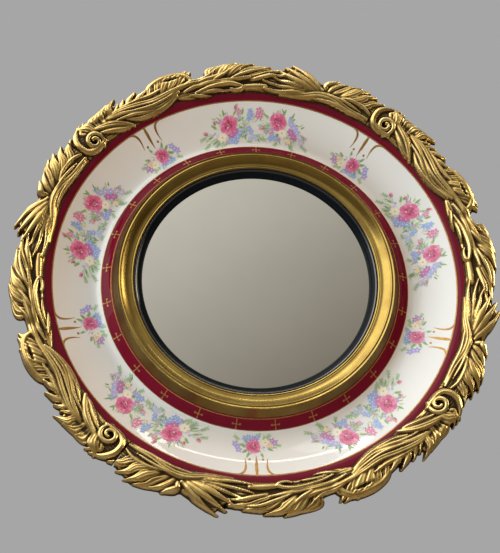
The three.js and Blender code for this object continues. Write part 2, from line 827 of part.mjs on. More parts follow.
const buttonGeometry = clean(buttonShape().rotateX(Math.PI / 2));
const buttonScrew = screw(
  smallScrewRadius,
  buttonThickness + 2 * seatGap + smallScrewBite,
  smallScrewHeadRadius,
  smallScrewHeadHeight,
);
const smallScrewSpots = [];
for (let i = 0; i < buttonCount; i += 1) {
  const degrees = buttonFirstAngle + (360 / buttonCount) * i;
  const [x, z] = onCircle(buttonPivotCircle, degrees);
  const button = add(`turn_button_${i + 1}`, buttonGeometry, brass());
  button.position.set(x, -buttonBack, z);
  button.rotation.y = THREE.MathUtils.degToRad(180 - degrees);
  const screwMesh = add(`turn_button_screw_${i + 1}`, buttonScrew, screwSteel());
  screwMesh.position.set(x, -(buttonBack - seatGap), z);
  smallScrewSpots.push([x, z]);
}

// ---------------------------------------------------------------- strap hangers
const loopBore = ringWire + screwClearance;
const loopOuter = loopBore + strapThickness;
const strapFront = channelFloor - seatGap;
const pivotDepth = strapFront - loopOuter;
const strapBack = strapFront - strapThickness;

// The strap seen from the side: a loop round the ring's bar and a plate down from it.
function strapGeometry() {
  const outline = new THREE.Shape();
  outline.moveTo(-strapLength, loopOuter - strapThickness);
  outline.lineTo(-strapLength, loopOuter);
  outline.lineTo(0, loopOuter);
  outline.absarc(0, 0, loopOuter, Math.PI / 2, -Math.PI, true);
  outline.lineTo(-loopOuter, loopOuter - strapThickness);
  const bore = new THREE.Path();
  bore.absarc(0, 0, loopBore, 0, 2 * Math.PI, false);
  outline.holes.push(bore);
  const plate = new THREE.ExtrudeGeometry(outline, {
    depth: strapWidth,
    bevelEnabled: false,
    curveSegments: 6,
  });
  plate.translate(0, 0, -strapWidth / 2);
  const turn = new THREE.Matrix4().makeBasis(
    new THREE.Vector3(0, 0, 1),
    new THREE.Vector3(0, -1, 0),
    new THREE.Vector3(1, 0, 0),
  );
  plate.applyMatrix4(turn);
  const holes = strapScrewRises.map((rise) =>
    rod(smallScrewRadius + screwClearance, -loopOuter, 2 * loopOuter, 0, rise - strapLength),
  );
  return cut(plate, holes);
}

// The ring: a straight bar that turns in the loop, and a round bow below it.
function ringGeometry() {
  const bowRadius = ringHalfWidth;
  const bowCentre = -(ringDrop - bowRadius);
  const outline = new THREE.Path();
  outline.moveTo(ringHalfWidth - ringCorner, 0);
  outline.absarc(ringHalfWidth - ringCorner, -ringCorner, ringCorner, Math.PI / 2, 0, true);
  outline.absarc(0, bowCentre, bowRadius, 0, -Math.PI, true);
  outline.absarc(-ringHalfWidth + ringCorner, -ringCorner, ringCorner, Math.PI, Math.PI / 2, true);
  const bow = outline.getPoints(3);
  const sides = 6;
  const count = bow.length;
  const corners = [];
  for (let i = 0; i < count; i += 1) {
    const before = bow[(i + count - 1) % count];
    const after = bow[(i + 1) % count];
    const tangent = after.clone().sub(before).normalize();
    const side = new THREE.Vector2(-tangent.y, tangent.x);
    for (let k = 0; k < sides; k += 1) {
      const angle = (2 * Math.PI * (k + 0.5)) / sides;
      const point = bow[i].clone().addScaledVector(side, ringWire * Math.cos(angle));
      corners.push([point.x, ringWire * Math.sin(angle), point.y]);
    }
  }
  const faces = [];
  for (let i = 0; i < count; i += 1) {
    for (let k = 0; k < sides; k += 1) {
      const next = (k + 1) % sides;
      const a = i * sides + k;
      const b = i * sides + next;
      const c = ((i + 1) % count) * sides + k;
      const d = ((i + 1) % count) * sides + next;
      faces.push(a, c, b, b, c, d);
    }
  }
  return clean(fromCorners(corners, faces));
}

const strapShape = strapGeometry();
const ringShape = ringGeometry();
const strapScrew = screw(
  smallScrewRadius,
  strapThickness + 2 * seatGap + smallScrewBite,
  smallScrewHeadRadius,
  smallScrewHeadHeight,
);
const [hangerX, hangerZ] = onCircle(hangerCircle, hangerAngle);
for (const [side, sign] of [['left', -1], ['right', 1]]) {
  const x = sign * hangerX;
  add(`hanger_strap_${side}`, strapShape, brass()).position.set(x, -pivotDepth, hangerZ);
  add(`hanging_ring_${side}`, ringShape, brass()).position.set(x, -pivotDepth, hangerZ);
  strapScrewRises.forEach((rise, i) => {
    const z = hangerZ + rise - strapLength;
    const screwMesh = add(`hanger_screw_${side}_${i + 1}`, strapScrew, screwSteel());
    screwMesh.position.set(x, -(strapBack - seatGap), z);
    smallScrewSpots.push([x, z]);
  });
}

// ---------------------------------------------------------------- wall pads
const padShape = disc(padRadius, 0, padThickness, 16);
for (let i = 0; i < padCount; i += 1) {
  const [x, z] = onCircle(padCircle, padFirstAngle + (360 / padCount) * i);
  add(`wall_pad_${i + 1}`, padShape, felt()).position.set(x, 0, z);
}

// ---------------------------------------------------------------- wooden base ring
const woodShape = turned([
  [woodBodyRadius, woodBack],
  [woodBodyRadius, flangeBack],
  [woodFlangeRadius, flangeBack],
  [woodFlangeRadius, flangeTop],
  [rebateRadius, flangeTop],
  [rebateRadius, woodOuterSeat],
  [outerSeatRadius, woodOuterSeat],
  ...troughUnderside(
    porcelainThickness + woodUnderPorcelain,
    innerRimRadius + 3,
    outerSeatRadius - 2,
  ),
  [innerRimRadius + 2, woodInnerSeat],
  [bossRadius, woodInnerSeat],
  [bossRadius, bossTop],
  [slipRecessRadius, bossTop],
  [slipRecessRadius, glassFront],
  [openingRadius, glassFront],
  [openingRadius, boardRecess],
  [boardRecessRadius, boardRecess],
  [boardRecessRadius, channelFloor],
  [channelRadius, channelFloor],
  [channelRadius, woodBack],
]);
const woodHoles = [];
for (const [x, z] of studPlaces) {
  woodHoles.push(
    rod(studRadius + screwClearance, channelFloor - overcut, bossTop + overcut, x, z),
  );
}
for (const [x, z] of borderScrewSpots) {
  woodHoles.push(
    rod(borderScrewRadius + screwClearance, flangeBack - overcut, flangeTop + overcut, x, z),
  );
}
for (const [x, z] of smallScrewSpots) {
  const end = channelFloor + smallScrewBite + screwClearance + seatGap;
  woodHoles.push(rod(smallScrewRadius + screwClearance, channelFloor - overcut, end, x, z, 6));
}
add('wooden_base_ring', cut(woodShape, woodHoles), turnedWood());

export default mirror;
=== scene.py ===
import itertools
import math
import random

import bmesh
import bpy
import numpy as np
from bpy.props import FloatProperty, FloatVectorProperty, IntProperty, PointerProperty
from mathutils import Matrix, Vector


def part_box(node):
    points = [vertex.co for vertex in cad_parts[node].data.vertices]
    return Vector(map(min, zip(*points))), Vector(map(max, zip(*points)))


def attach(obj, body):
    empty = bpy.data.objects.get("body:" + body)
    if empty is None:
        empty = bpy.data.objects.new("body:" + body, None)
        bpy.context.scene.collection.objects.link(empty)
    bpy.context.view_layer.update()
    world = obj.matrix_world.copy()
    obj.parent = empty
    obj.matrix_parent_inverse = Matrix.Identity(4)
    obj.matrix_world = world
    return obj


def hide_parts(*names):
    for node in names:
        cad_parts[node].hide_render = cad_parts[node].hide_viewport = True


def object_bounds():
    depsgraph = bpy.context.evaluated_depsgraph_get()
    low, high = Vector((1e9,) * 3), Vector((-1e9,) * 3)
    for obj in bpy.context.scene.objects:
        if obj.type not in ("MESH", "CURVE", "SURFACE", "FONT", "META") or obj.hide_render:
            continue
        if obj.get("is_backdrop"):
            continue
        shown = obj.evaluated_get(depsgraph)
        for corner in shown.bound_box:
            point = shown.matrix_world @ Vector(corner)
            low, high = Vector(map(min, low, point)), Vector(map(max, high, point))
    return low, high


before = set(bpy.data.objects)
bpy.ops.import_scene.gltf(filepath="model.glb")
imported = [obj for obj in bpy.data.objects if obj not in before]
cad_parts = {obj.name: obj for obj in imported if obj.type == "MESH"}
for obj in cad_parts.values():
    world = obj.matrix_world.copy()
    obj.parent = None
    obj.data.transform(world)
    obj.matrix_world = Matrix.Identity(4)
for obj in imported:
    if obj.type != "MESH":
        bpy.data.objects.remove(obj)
CAD_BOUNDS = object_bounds()

bl_info = {
    "name": "Girandole mirror",
    "version": (1, 0, 0),
    "blender": (4, 5, 0),
    "location": "3D View > Sidebar > Mirror",
    "description": "Dresses a round mirror with a porcelain ring and a gilt acanthus border",
    "category": "Object",
}

# The mirror hangs on the wall plane Y = 0 and faces -Y, with +Z up. Profiles are in millimetres,
# as [radius, depth in front of the wall], and turn round the Y axis.
MM = 0.001
TURN = 2 * math.pi
SIDES = 288  # of the finest turned pieces
SEAT_GAP = 0.3
GLASS_BACK, GLASS_FRONT = 31.4, 34.4  # at the edge of the glass
SLIP_BACK, SLIP_FRONT = 34.7, 42.2
FOOT_DEPTH, STUD_INSET = 35.9, 14.2  # of the bezel; the studs stand inside its foot
PAD_CIRCLE, BUTTON_CIRCLE = 255, 178


# ---------------------------------------------------------------- settings
def length(name, description, metres):
    return FloatProperty(
        name=name, description=description, default=metres, unit="LENGTH", subtype="DISTANCE"
    )


def number(name, description, value):
    return IntProperty(name=name, description=description, default=value, min=1)


def amount(name, description, value, **limits):
    return FloatProperty(name=name, description=description, default=value, min=0, **limits)


def colour(name, description, value):
    return FloatVectorProperty(
        name=name, description=description, default=value, size=3, min=0, max=1, subtype="COLOR"
    )


class MirrorSizes(bpy.types.PropertyGroup):
    """Sizes of the pieces, in metres"""

    glass_radius: length("Glass radius", "Radius of the round plate", 0.1525)
    glass_rise: length("Glass rise", "Middle of the glass in front of its edge", 0.008)
    slip_inner_radius: length("Slip inner radius", "Sight edge of the black slip", 0.1458)
    slip_radius: length("Slip radius", "Outer edge of the black slip", 0.1605)
    bezel_lip_radius: length("Bezel lip radius", "Inner edge of the brass bezel", 0.1561)
    bezel_rim_radius: length("Bezel rim radius", "Sharp rim of the brass bezel", 0.1762)
    bezel_foot_radius: length("Bezel foot radius", "Foot of the bezel on the porcelain", 0.1832)
    band_radius: length("Inner band radius", "Outer edge of the inner burgundy band", 0.1976)
    white_radius: length("White ground radius", "Outer edge of the white ground", 0.258)
    gold_line: length("Gold line", "Width of the gold lines", 0.0011)


class MirrorCounts(bpy.types.PropertyGroup):
    """How often each motif repeats"""

    fleurs: number("Fleurs", "Gold fleurs on the inner band", 25)
    bouquets: number("Bouquets", "Repeats of the painted flowers", 5)


class MirrorColours(bpy.types.PropertyGroup):
    """Colours of the finishes"""

    # Rubbed gold is partly a painted highlight on the ridges; dark gold is brown patina and painted
    # shade in the recesses.
    gold_rubbed_highlight: colour("Rubbed gold", "Highest ridges of the castings", (0.88, 0.69, 0.31))
    gold_bright: colour("Bright gold", "Faces of the castings", (0.70, 0.475, 0.15))
    gold_patina_shade: colour("Dark gold", "Patina in the recesses", (0.035, 0.017, 0.005))
    brass: colour("Brass", "Spun brass of the bezel", (0.46, 0.325, 0.085))
    white: colour("White glaze", "Ground of the porcelain", (0.78, 0.785, 0.755))
    burgundy: colour("Burgundy", "Bands of the porcelain", (0.175, 0.006, 0.022))
    gilding: colour("Gilding", "Gold lines and motifs", (0.52, 0.28, 0.07))
    lacquer: colour("Lacquer", "Black slip", (0.004, 0.006, 0.008))
    silver: colour("Silvering", "Mirror glass", (0.65, 0.62, 0.54))
    wood: colour("Wood", "Turned base ring", (0.16, 0.075, 0.03))


class StageSettings(bpy.types.PropertyGroup):
    """Light, background and camera"""

    key_power: amount("Window light", "Power of the large light at the left", 40)
    warm_power: amount("Warm light", "Power of the weak light at the right", 21)
    rear_power: amount("Rear light", "Power of the light behind the mirror", 26)
    fill_power: amount("Low fill", "Power of the soft light below the mirror", 29)
    glint_power: amount("Side glint", "Power of the light that only glossy pieces show", 32)
    strip_power: amount("Strip light", "Power of the thin light above", 3.8)
    background: amount("Background", "Grey behind the mirror", 0.381, max=1)
    camera_distance: length("Camera distance", "Camera to the front of the porcelain", 1.523)
    floor_level: length("Floor level", "Height of the floor", -1.35)


def mm(metres):
    return metres / MM


# ---------------------------------------------------------------- nodes
class Nodes:
    """Adds nodes to a tree, each with its inputs linked or set."""

    def __init__(self, tree):
        self.tree = tree
        tree.nodes.clear()

    def feed(self, socket, value):
        """Links an output to a socket, or sets the socket to a plain value."""
        if isinstance(value, bpy.types.NodeSocket):
            self.tree.links.new(value, socket)
        elif hasattr(value, "__len__"):
            values = tuple(value)
            alpha = (1.0,) if len(values) == 3 and socket.type == "RGBA" else ()
            socket.default_value = values + alpha
        else:
            socket.default_value = value

    def add(self, kind, inputs=(), out=0, **settings):
        """A new node. Its inputs go by name or number; out names the output that is returned."""
        node = self.tree.nodes.new(kind)
        for name, value in settings.items():
            setattr(node, name, value)
        for place, value in inputs.items() if isinstance(inputs, dict) else enumerate(inputs):
            self.feed(node.inputs[place], value)
        return node.outputs[out] if node.outputs else node

    def math(self, operation, first, second=0.0, clamp=False):
        return self.add("ShaderNodeMath", (first, second), operation=operation, use_clamp=clamp)

    def remap(self, value, low, high, to_low=0.0, to_high=1.0):
        return self.add("ShaderNodeMapRange", (value, low, high, to_low, to_high))

    def mix(self, share, first, second):
        return self.add("ShaderNodeMix", {0: share, 6: first, 7: second}, 2, data_type="RGBA")

    def place(self):
        return self.add("ShaderNodeTexCoord", out="Object")

    def noise(self, scale, detail=3.0, roughness=0.5, vector=None):
        inputs = {"Scale": scale, "Detail": detail, "Roughness": roughness}
        return self.add("ShaderNodeTexNoise", {"Vector": vector or self.place(), **inputs})

    def stretched(self, scale):
        return self.add("ShaderNodeMapping", {"Vector": self.place(), "Scale": scale})

    def bump(self, height, strength, distance):
        inputs = {"Height": height, "Strength": strength, "Distance": distance}
        return self.add("ShaderNodeBump", inputs)

    def attribute(self, name, out):
        return self.add("ShaderNodeAttribute", out=out, attribute_name=name)

    def turned(self):
        """Distance from the mirror's axis, and a vector that varies slowly along the circle."""
        x, y, z = self.add("ShaderNodeSeparateXYZ", [self.place()]).node.outputs
        squares = self.math("ADD", self.math("POWER", x, 2.0), self.math("POWER", z, 2.0))
        radius = self.math("SQRT", squares)
        scaled = [self.math("MULTIPLY", *pair) for pair in ((radius, 900.0), (y, 900.0), (x, 5.0))]
        return radius, self.add("ShaderNodeCombineXYZ", scaled)


# ---------------------------------------------------------------- looks
# Each look gives the inputs of its Principled shader.
def dim(value, factor):
    return tuple(factor * channel for channel in value)


def gilt_casting(n, colours):
    """Antique gilt brass: rubbed gold and a painted highlight on the ridges, brown patina and painted
    shade in the recesses.
    """
    mottle, fine = n.noise(70.0, 4.0, 0.6), n.noise(600.0, 3.0, 0.6)
    shift = n.remap(mottle, 0.3, 0.7, -0.1, 0.1)
    # The recess attribute, shifted by a mottle, picks the colour: low on the ridges for rubbed gold with
    # a painted highlight, high in the recesses for brown patina with painted shade.
    wear_and_shade = n.math("ADD", n.attribute("recess", "Fac"), shift, clamp=True)
    bright = n.mix(n.remap(wear_and_shade, 0.0, 0.28), colours.gold_rubbed_highlight, colours.gold_bright)
    warm = n.mix(n.remap(mottle, 0.45, 0.75, 0.0, 0.45), bright, (0.50, 0.28, 0.10))
    middle = n.mix(n.remap(wear_and_shade, 0.3, 0.55), warm, dim(colours.gold_bright, 0.34))
    dull = n.remap(wear_and_shade, 0.0, 1.0, 0.2, 0.62)
    return {
        "Base Color": n.mix(n.remap(wear_and_shade, 0.48, 0.9), middle, colours.gold_patina_shade),
        "Metallic": n.remap(wear_and_shade, 0.3, 1.0, 1.0, 0.55),
        "Roughness": n.math("ADD", dull, n.remap(fine, 0.3, 0.7, -0.03, 0.05)),
        "Normal": n.bump(fine, 0.1, 0.0003),
    }


def porcelain_glaze(n, colours):
    """White glaze with burgundy bands, told apart by the distance from the axis."""
    sizes = bpy.context.scene.mirror_sizes
    radius, _ = n.turned()
    cloud = n.remap(n.noise(9.0, 2.0), 0.3, 0.7)
    white = n.mix(cloud, colours.white, dim(colours.white, 0.95))
    burgundy = n.mix(cloud, colours.burgundy, dim(colours.burgundy, 0.8))
    inner = n.math("LESS_THAN", radius, sizes.band_radius)
    outer = n.math("GREATER_THAN", radius, sizes.white_radius)
    banded = n.math("ADD", inner, outer, clamp=True)
    unglazed = n.math("LESS_THAN", radius, sizes.bezel_foot_radius - 0.004)
    return {
        "Base Color": n.mix(unglazed, n.mix(banded, white, burgundy), colours.white),
        "Roughness": 0.22,
        "Specular IOR Level": 0.0,
        "Coat Weight": n.remap(banded, 0.0, 1.0, 1.0, 0.3),
        "Coat Roughness": 0.03,
        "Normal": n.bump(n.noise(30.0, 2.0), 0.08, 0.002),
    }


def enamel_paint(n, colours):
    """Flower colours under the glaze, from the paint attribute."""
    wash = n.remap(n.noise(700.0, 2.0), 0.35, 0.7, 0.0, 0.14)
    return {
        "Base Color": n.mix(wash, n.attribute("paint", "Color"), (0.78, 0.76, 0.72)),
        "Roughness": 0.25,
        "Specular IOR Level": 0.0,
        "Coat Weight": 0.8,
        "Coat Roughness": 0.12,
    }


def turned_brass(n, colours, roughness, skirt=0.0):
    """Polished brass with fine turning lines and a thin brown tarnish."""
    _, circular = n.turned()
    tarnish = n.noise(22.0, 4.0, 0.6)
    share = n.remap(tarnish, 0.35, 0.75, 0.1, 0.75)
    base = n.mix(share, colours.brass, (0.20, 0.105, 0.025))
    dull = n.remap(tarnish, 0.3, 0.8, roughness, roughness + 0.12)
    return {
        # skirt mixes in dark brown: painted shade on the outer wall of the bezel
        "Base Color": n.mix(skirt, base, (0.10, 0.055, 0.02)),
        "Metallic": 1.0,
        "Roughness": n.math("ADD", dull, n.math("MULTIPLY", skirt, 0.25)),
        "Normal": n.bump(n.noise(2.2, 3.0, 0.7, circular), 0.04, 0.0002),
    }


def bezel_brass(n, colours):
    """Turned brass that is duller on the skirt outside the rim, and darker there with painted shade."""
    rim = bpy.context.scene.mirror_sizes.bezel_rim_radius
    radius, _ = n.turned()
    return turned_brass(n, colours, 0.14, n.remap(radius, rim - 0.0002, rim + 0.0008, 0.0, 0.6))


def hardware_brass(n, colours):
    return turned_brass(n, colours, 0.3)


def black_lacquer(n, colours):
    """Dull black with a polished bead on its outer slope."""
    radius, circular = n.turned()
    bead = n.remap(radius, 0.1524, 0.1532)
    lines = n.noise(0.6, 2.0, vector=circular)
    dust = n.remap(n.noise(900.0, 2.0), 0.62, 0.8, 0.0, 0.3)
    return {
        "Base Color": n.mix(dust, colours.lacquer, (0.05, 0.06, 0.07)),
        "Roughness": n.remap(lines, 0.3, 0.7, 0.10, 0.18),
        "Specular IOR Level": n.remap(bead, 0.0, 1.0, 0.06, 0.9),
        "Coat Weight": n.remap(bead, 0.0, 1.0, 0.06, 1.0),
        "Coat Roughness": 0.05,
        "Normal": n.bump(lines, 0.05, 0.0003),
    }


def shifted(n, value, roughness):
    """A plain roughness, or one that a noise shifts: (from low, from high, to low, to high)."""
    return n.remap(value, *roughness) if isinstance(roughness, tuple) else roughness


def mottled(noise, share, first, second, roughness, relief=None, **more):
    """A look with one noise. first may name a colour setting, and second may be a share of it."""

    def look(n, colours):
        patch = n.noise(*noise)
        one = getattr(colours, first) if isinstance(first, str) else first
        two = second if isinstance(second, tuple) else dim(one, second)
        values = {"Base Color": n.mix(n.remap(patch, *share), one, two), **more}
        if relief:
            values["Normal"] = n.bump(patch, *relief)
        return {**values, "Roughness": shifted(n, patch, roughness)}

    return look


def grained(n, grain, pores, pore_share, tints, roughness):
    """Wood with a stretched grain and fine pores: each noise is its stretch and its values."""
    long, fine = (n.noise(*values, vector=n.stretched(scale)) for scale, *values in (grain, pores))
    base = n.mix(n.remap(long, 0.35, 0.65), tints[0], tints[1])
    return {
        "Base Color": n.mix(n.remap(fine, *pore_share), base, tints[2]),
        "Roughness": shifted(n, long, roughness),
        "Normal": n.bump(fine, 0.3, 0.0003),
    }


def turned_wood(n, colours):
    """Stained wood with growth rings along X."""
    grain, pores = ((4.0, 40.0, 55.0), 3.0, 5.0, 0.6), ((60.0, 900.0, 900.0), 1.5, 2.0)
    tints = [dim(colours.wood, share) for share in (1, 0.4, 0.3)]
    return grained(n, grain, pores, (0.55, 0.75), tints, (0.3, 0.7, 0.42, 0.6))


def pale_plywood(n, colours):
    grain, pores = ((70.0, 70.0, 5.0), 2.0, 5.0, 0.65), ((900.0, 900.0, 40.0), 1.0, 2.0)
    tints = ((0.48, 0.33, 0.18), (0.33, 0.20, 0.10), (0.26, 0.15, 0.07))
    return grained(n, grain, pores, (0.5, 0.8), tints, 0.72)


# slot: name of the material, its look
LOOKS = {
    "gilt_casting": ("gilt_casting", gilt_casting),
    "porcelain": ("porcelain_glaze", porcelain_glaze),
    "enamel": ("enamel_paint", enamel_paint),
    "bezel_brass": ("spun_brass", bezel_brass),
    "hardware_brass": ("hardware_brass", hardware_brass),
    "black_lacquer": ("black_lacquer", black_lacquer),
    "base_wood": ("turned_wood", turned_wood),
    "plywood": ("pale_plywood", pale_plywood),
    "gilding": (
        "gilding",
        mottled((250.0,), (0.3, 0.7), "gilding", 0.6, (0.3, 0.7, 0.3, 0.45), Metallic=0.6),
    ),
    "mirror_glass": (
        "silvered_glass",
        mottled((14.0,), (0.35, 0.7), "silver", 0.96, (0.3, 0.8, 0.01, 0.03), Metallic=1.0),
    ),
    "grey_card": (
        "grey_card",
        mottled(
            (420.0, 4.0, 0.7), (0.3, 0.7), (0.30, 0.28, 0.25), (0.22, 0.2, 0.18), 0.9, (0.3, 0.0003)
        ),
    ),
    "felt": (
        "dark_felt",
        mottled(
            (1100.0, 4.0, 0.75), (0.3, 0.7), (0.05, 0.048, 0.045), (0.02, 0.02, 0.019), 0.95,
            (0.8, 0.0008), **{"Sheen Weight": 0.4},
        ),
    ),
    "screw_steel": (
        "plated_steel",
        mottled(
            (320.0, 3.0, 0.6), (0.35, 0.7), (0.58, 0.57, 0.54), (0.36, 0.35, 0.32),
            (0.3, 0.7, 0.25, 0.42), (0.15, 0.0002), Metallic=1.0,
        ),
    ),
}
FINISHES = {}


def finish(slot):
    """The material for one of the slots, made once."""
    if slot not in FINISHES:
        name, look = LOOKS[slot]
        material = bpy.data.materials.new(name)
        material.use_nodes = True
        n = Nodes(material.node_tree)
        shader = n.add("ShaderNodeBsdfPrincipled", look(n, bpy.context.scene.mirror_colours))
        n.add("ShaderNodeOutputMaterial", [shader])
        FINISHES[slot] = material
    return FINISHES[slot]


# ---------------------------------------------------------------- meshes
def shaded(mesh, crease):
    """Smooth shading, sharp where faces meet at more than the crease in degrees."""
    mesh.shade_smooth()
    mesh.set_sharp_from_angle(angle=math.radians(crease))
    return mesh


def build_mesh(name, points, faces, crease=35):
    """A smooth-shaded mesh from points in millimetres."""
    mesh = bpy.data.meshes.new(name)
    places = [tuple(MM * c for c in p) for p in points]
    mesh.from_pydata(places, [], [tuple(map(int, f)) for f in faces])
    mesh.validate()
    return shaded(mesh, crease)


def outwards(mesh):
    """Merges doubles and turns the faces outwards."""
    shape = bmesh.new()
    shape.from_mesh(mesh)
    bmesh.ops.remove_doubles(shape, verts=shape.verts, dist=1e-7)
    bmesh.ops.recalc_face_normals(shape, faces=shape.faces)
    shape.to_mesh(mesh)
    shape.free()
    return mesh


def solid(name, shape, crease=35):
    """A mesh from points and faces that close round a solid."""
    return outwards(build_mesh(name, *shape, crease))


def into_scene(name, data):
    thing = bpy.data.objects.new(name, data)
    bpy.context.scene.collection.objects.link(thing)
    return thing


def place_piece(name, mesh, slot, body="frame", nodes=(), record_slot=None):
    """Puts a finished mesh into the scene, on its body, with its finish."""
    piece = into_scene(name, mesh)
    mesh.materials.clear()
    mesh.materials.append(finish(slot))
    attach(piece, body)
    if nodes:
        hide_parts(*nodes)
    record_slot or slot


def rounded(profile, radius, steps=3):
    """Softens the corners of a closed profile."""
    points = [np.array(p, float) for p in profile]
    result = []
    for i, point in enumerate(points):
        before, after = points[i - 1] - point, points[(i + 1) % len(points)] - point
        reach = min(radius, 0.45 * np.linalg.norm(before), 0.45 * np.linalg.norm(after))
        start = point + before / np.linalg.norm(before) * reach
        end = point + after / np.linalg.norm(after) * reach
        for t in np.linspace(0, 1, steps + 1):
            result.append(tuple((1 - t) ** 2 * start + 2 * t * (1 - t) * point + t * t * end))
    return result


def polar(radius, angle, centre=(0, 0)):
    return (centre[0] + radius * math.cos(angle), centre[1] + radius * math.sin(angle))


def turned(profile, sides=SIDES, centre=(0, 0), closed=True):
    """Points and faces of a turned solid. An open profile starts and ends on the axis."""
    points, faces, rings = [], [], []
    for radius, depth in profile:
        if radius < 1e-6:
            rings.append([len(points)] * sides)
            points.append((centre[0], -depth, centre[1]))
            continue
        rings.append(list(range(len(points), len(points) + sides)))
        for k in range(sides):
            x, z = polar(radius, TURN * k / sides, centre)
            points.append((x, -depth, z))
    for here, there in zip(rings, rings[1:] + (rings[:1] if closed else [])):
        for k in range(sides):
            n = (k + 1) % sides
            loop = [here[k], here[n], there[n], there[k]]
            loop = [v for i, v in enumerate(loop) if v != loop[i - 1]]
            if len(loop) > 2:
                faces.append(loop)
    return points, faces


def four_turned(profile, sides, circle, first=0):
    """The same small turned part four times on a circle round the axis."""
    angles = [math.radians(first + 90 * k) for k in range(4)]
    return [turned(profile, sides, polar(circle, a), closed=False) for a in angles]


def joined(parts):
    """One list of points and faces from several."""
    points, faces = [], []
    for more_points, more_faces in parts:
        start = len(points)
        points.extend(more_points)
        faces.extend([[start + v for v in face] for face in more_faces])
    return points, faces


def through(points, count):
    """Points on a smooth curve through the given ones."""
    p = np.array(points, float)
    p = np.vstack([2 * p[0] - p[1], p, 2 * p[-1] - p[-2]])
    t = np.linspace(0, len(p) - 3, count)
    i = np.minimum(t.astype(int), len(p) - 4)
    f = (t - i)[:, None]
    a, b, c, d = (p[i + k] for k in range(4))
    bend = (2 * a - 5 * b + 4 * c - d) * f**2 + (3 * b - a - 3 * c + d) * f**3
    return 0.5 * (2 * b + (c - a) * f + bend)


# ---------------------------------------------------------------- geometry nodes
def grown(name, mesh, slot, inputs, copies):
    """The plain mesh that a tree of geometry nodes makes from the given one.

    inputs gives the kind and the value of each input, and copies adds the nodes that repeat."""
    tree = bpy.data.node_groups.new(name, "GeometryNodeTree")
    inputs = {**inputs, "Material": ("Material", finish(slot))}
    tree.interface.new_socket("Geometry", in_out="INPUT", socket_type="NodeSocketGeometry")
    places = {}
    for label, (kind, _) in inputs.items():
        socket = tree.interface.new_socket(label, in_out="INPUT", socket_type="NodeSocket" + kind)
        places[label] = socket.identifier
    tree.interface.new_socket("Geometry", in_out="OUTPUT", socket_type="NodeSocketGeometry")
    n = Nodes(tree)
    given = n.add("NodeGroupInput").node.outputs
    real = n.add("GeometryNodeRealizeInstances", [copies(n, given)])
    painted = {"Geometry": real, "Material": given["Material"]}
    n.add("NodeGroupOutput", [n.add("GeometryNodeSetMaterial", painted)])
    holder = into_scene(name + "_source", mesh)
    modifier = holder.modifiers.new("nodes", "NODES")
    modifier.node_group = tree
    for label, (_, value) in inputs.items():
        modifier[places[label]] = value
    result = evaluated_mesh(holder, name)
    bpy.data.objects.remove(holder)
    return result


def evaluated_mesh(holder, name):
    bpy.context.view_layer.update()
    graph = bpy.context.evaluated_depsgraph_get()
    mesh = bpy.data.meshes.new_from_object(holder.evaluated_get(graph))
    mesh.name = name
    return mesh


def instances(n, points, instance, angle):
    """One copy on every point, turned round the mirror's axis."""
    turn = n.add("ShaderNodeCombineXYZ", {"Y": angle})
    inputs = {"Points": points, "Instance": instance, "Rotation": turn}
    return n.add("GeometryNodeInstanceOnPoints", inputs)


def repeated(name, mesh, count, slot):
    """A motif repeated round the mirror's axis."""

    def copies(n, given):
        points = n.add("GeometryNodePoints", {"Count": given["Count"]})
        step = n.math("DIVIDE", TURN, given["Count"])
        angle = n.math("MULTIPLY", n.add("GeometryNodeInputIndex"), step)
        return instances(n, points, given["Geometry"], angle)

    return grown(name, mesh, slot, {"Count": ("Int", count)}, copies)


# ---------------------------------------------------------------- porcelain ring
GLAZE_LIP = (177.2, 35.6)
PORCELAIN_EDGE, PORCELAIN_FOOT = 272, 44.9
TROUGH_LINE = ((183.5, 35.6), (189.8, 31.274), (197.5, 27.36), (208.2, 25.3), (233.1, 34.834), (258, 48))
RIM_LINE = ((258, 48), (262, 49.9), (266.5, 51.0), (270, 51.35), (271.7, 50.6), (PORCELAIN_EDGE, 49))
TROUGH = through(TROUGH_LINE, 90)  # the glazed face from the inner rim to the edge of the white


def face_depth(radius):
    return np.interp(radius, TROUGH[:, 0], TROUGH[:, 1])


def on_glaze(radius, angle, lift):
    """A point a little above the glaze, at a radius and an angle."""
    slope = face_depth(radius + 0.5) - face_depth(radius - 0.5)
    size = math.hypot(1, slope)
    x, z = polar(radius - lift * slope / size, angle)
    return (x, -face_depth(radius) - lift / size, z)


def aside(radius, sideways, centre_angle, lift):
    """A point on the glaze, some millimetres clockwise from an angle."""
    return on_glaze(radius, centre_angle - sideways / radius, lift)


def porcelain_profile():
    face = [tuple(p) for p in through(TROUGH_LINE, 56)]
    rim = [tuple(p) for p in through(RIM_LINE, 16)]
    under = [(r, d - 5) for r, d in reversed(face) if 187 < r < 258]
    foot = [(PORCELAIN_EDGE, PORCELAIN_FOOT), (262, PORCELAIN_FOOT)]
    return [GLAZE_LIP, *face, *rim[1:], *foot, *under[::2], (185.5, 30.6), (GLAZE_LIP[0], 30.6)]


class MIRROR_OT_porcelain(bpy.types.Operator):
    """Porcelain ring with its burgundy bands"""

    bl_idname = "mirror.porcelain"
    bl_label = "Porcelain ring"

    def execute(self, context):
        mesh = solid("porcelain_dish", turned(porcelain_profile()), 50)
        place_piece("porcelain_dish", mesh, "porcelain", nodes=["porcelain_ring"])
        return {"FINISHED"}


# ---------------------------------------------------------------- gilding
def gold_ring(radius, width):
    """A thin raised line round the glaze."""
    profile = []
    for side, height in ((-0.5, -0.1), (-0.4, 0.096), (0, 0.12), (0.4, 0.096), (0.5, -0.1)):
        x, y, _ = on_glaze(radius + side * width, 0, height)
        profile.append((x, -y))
    return turned(profile)


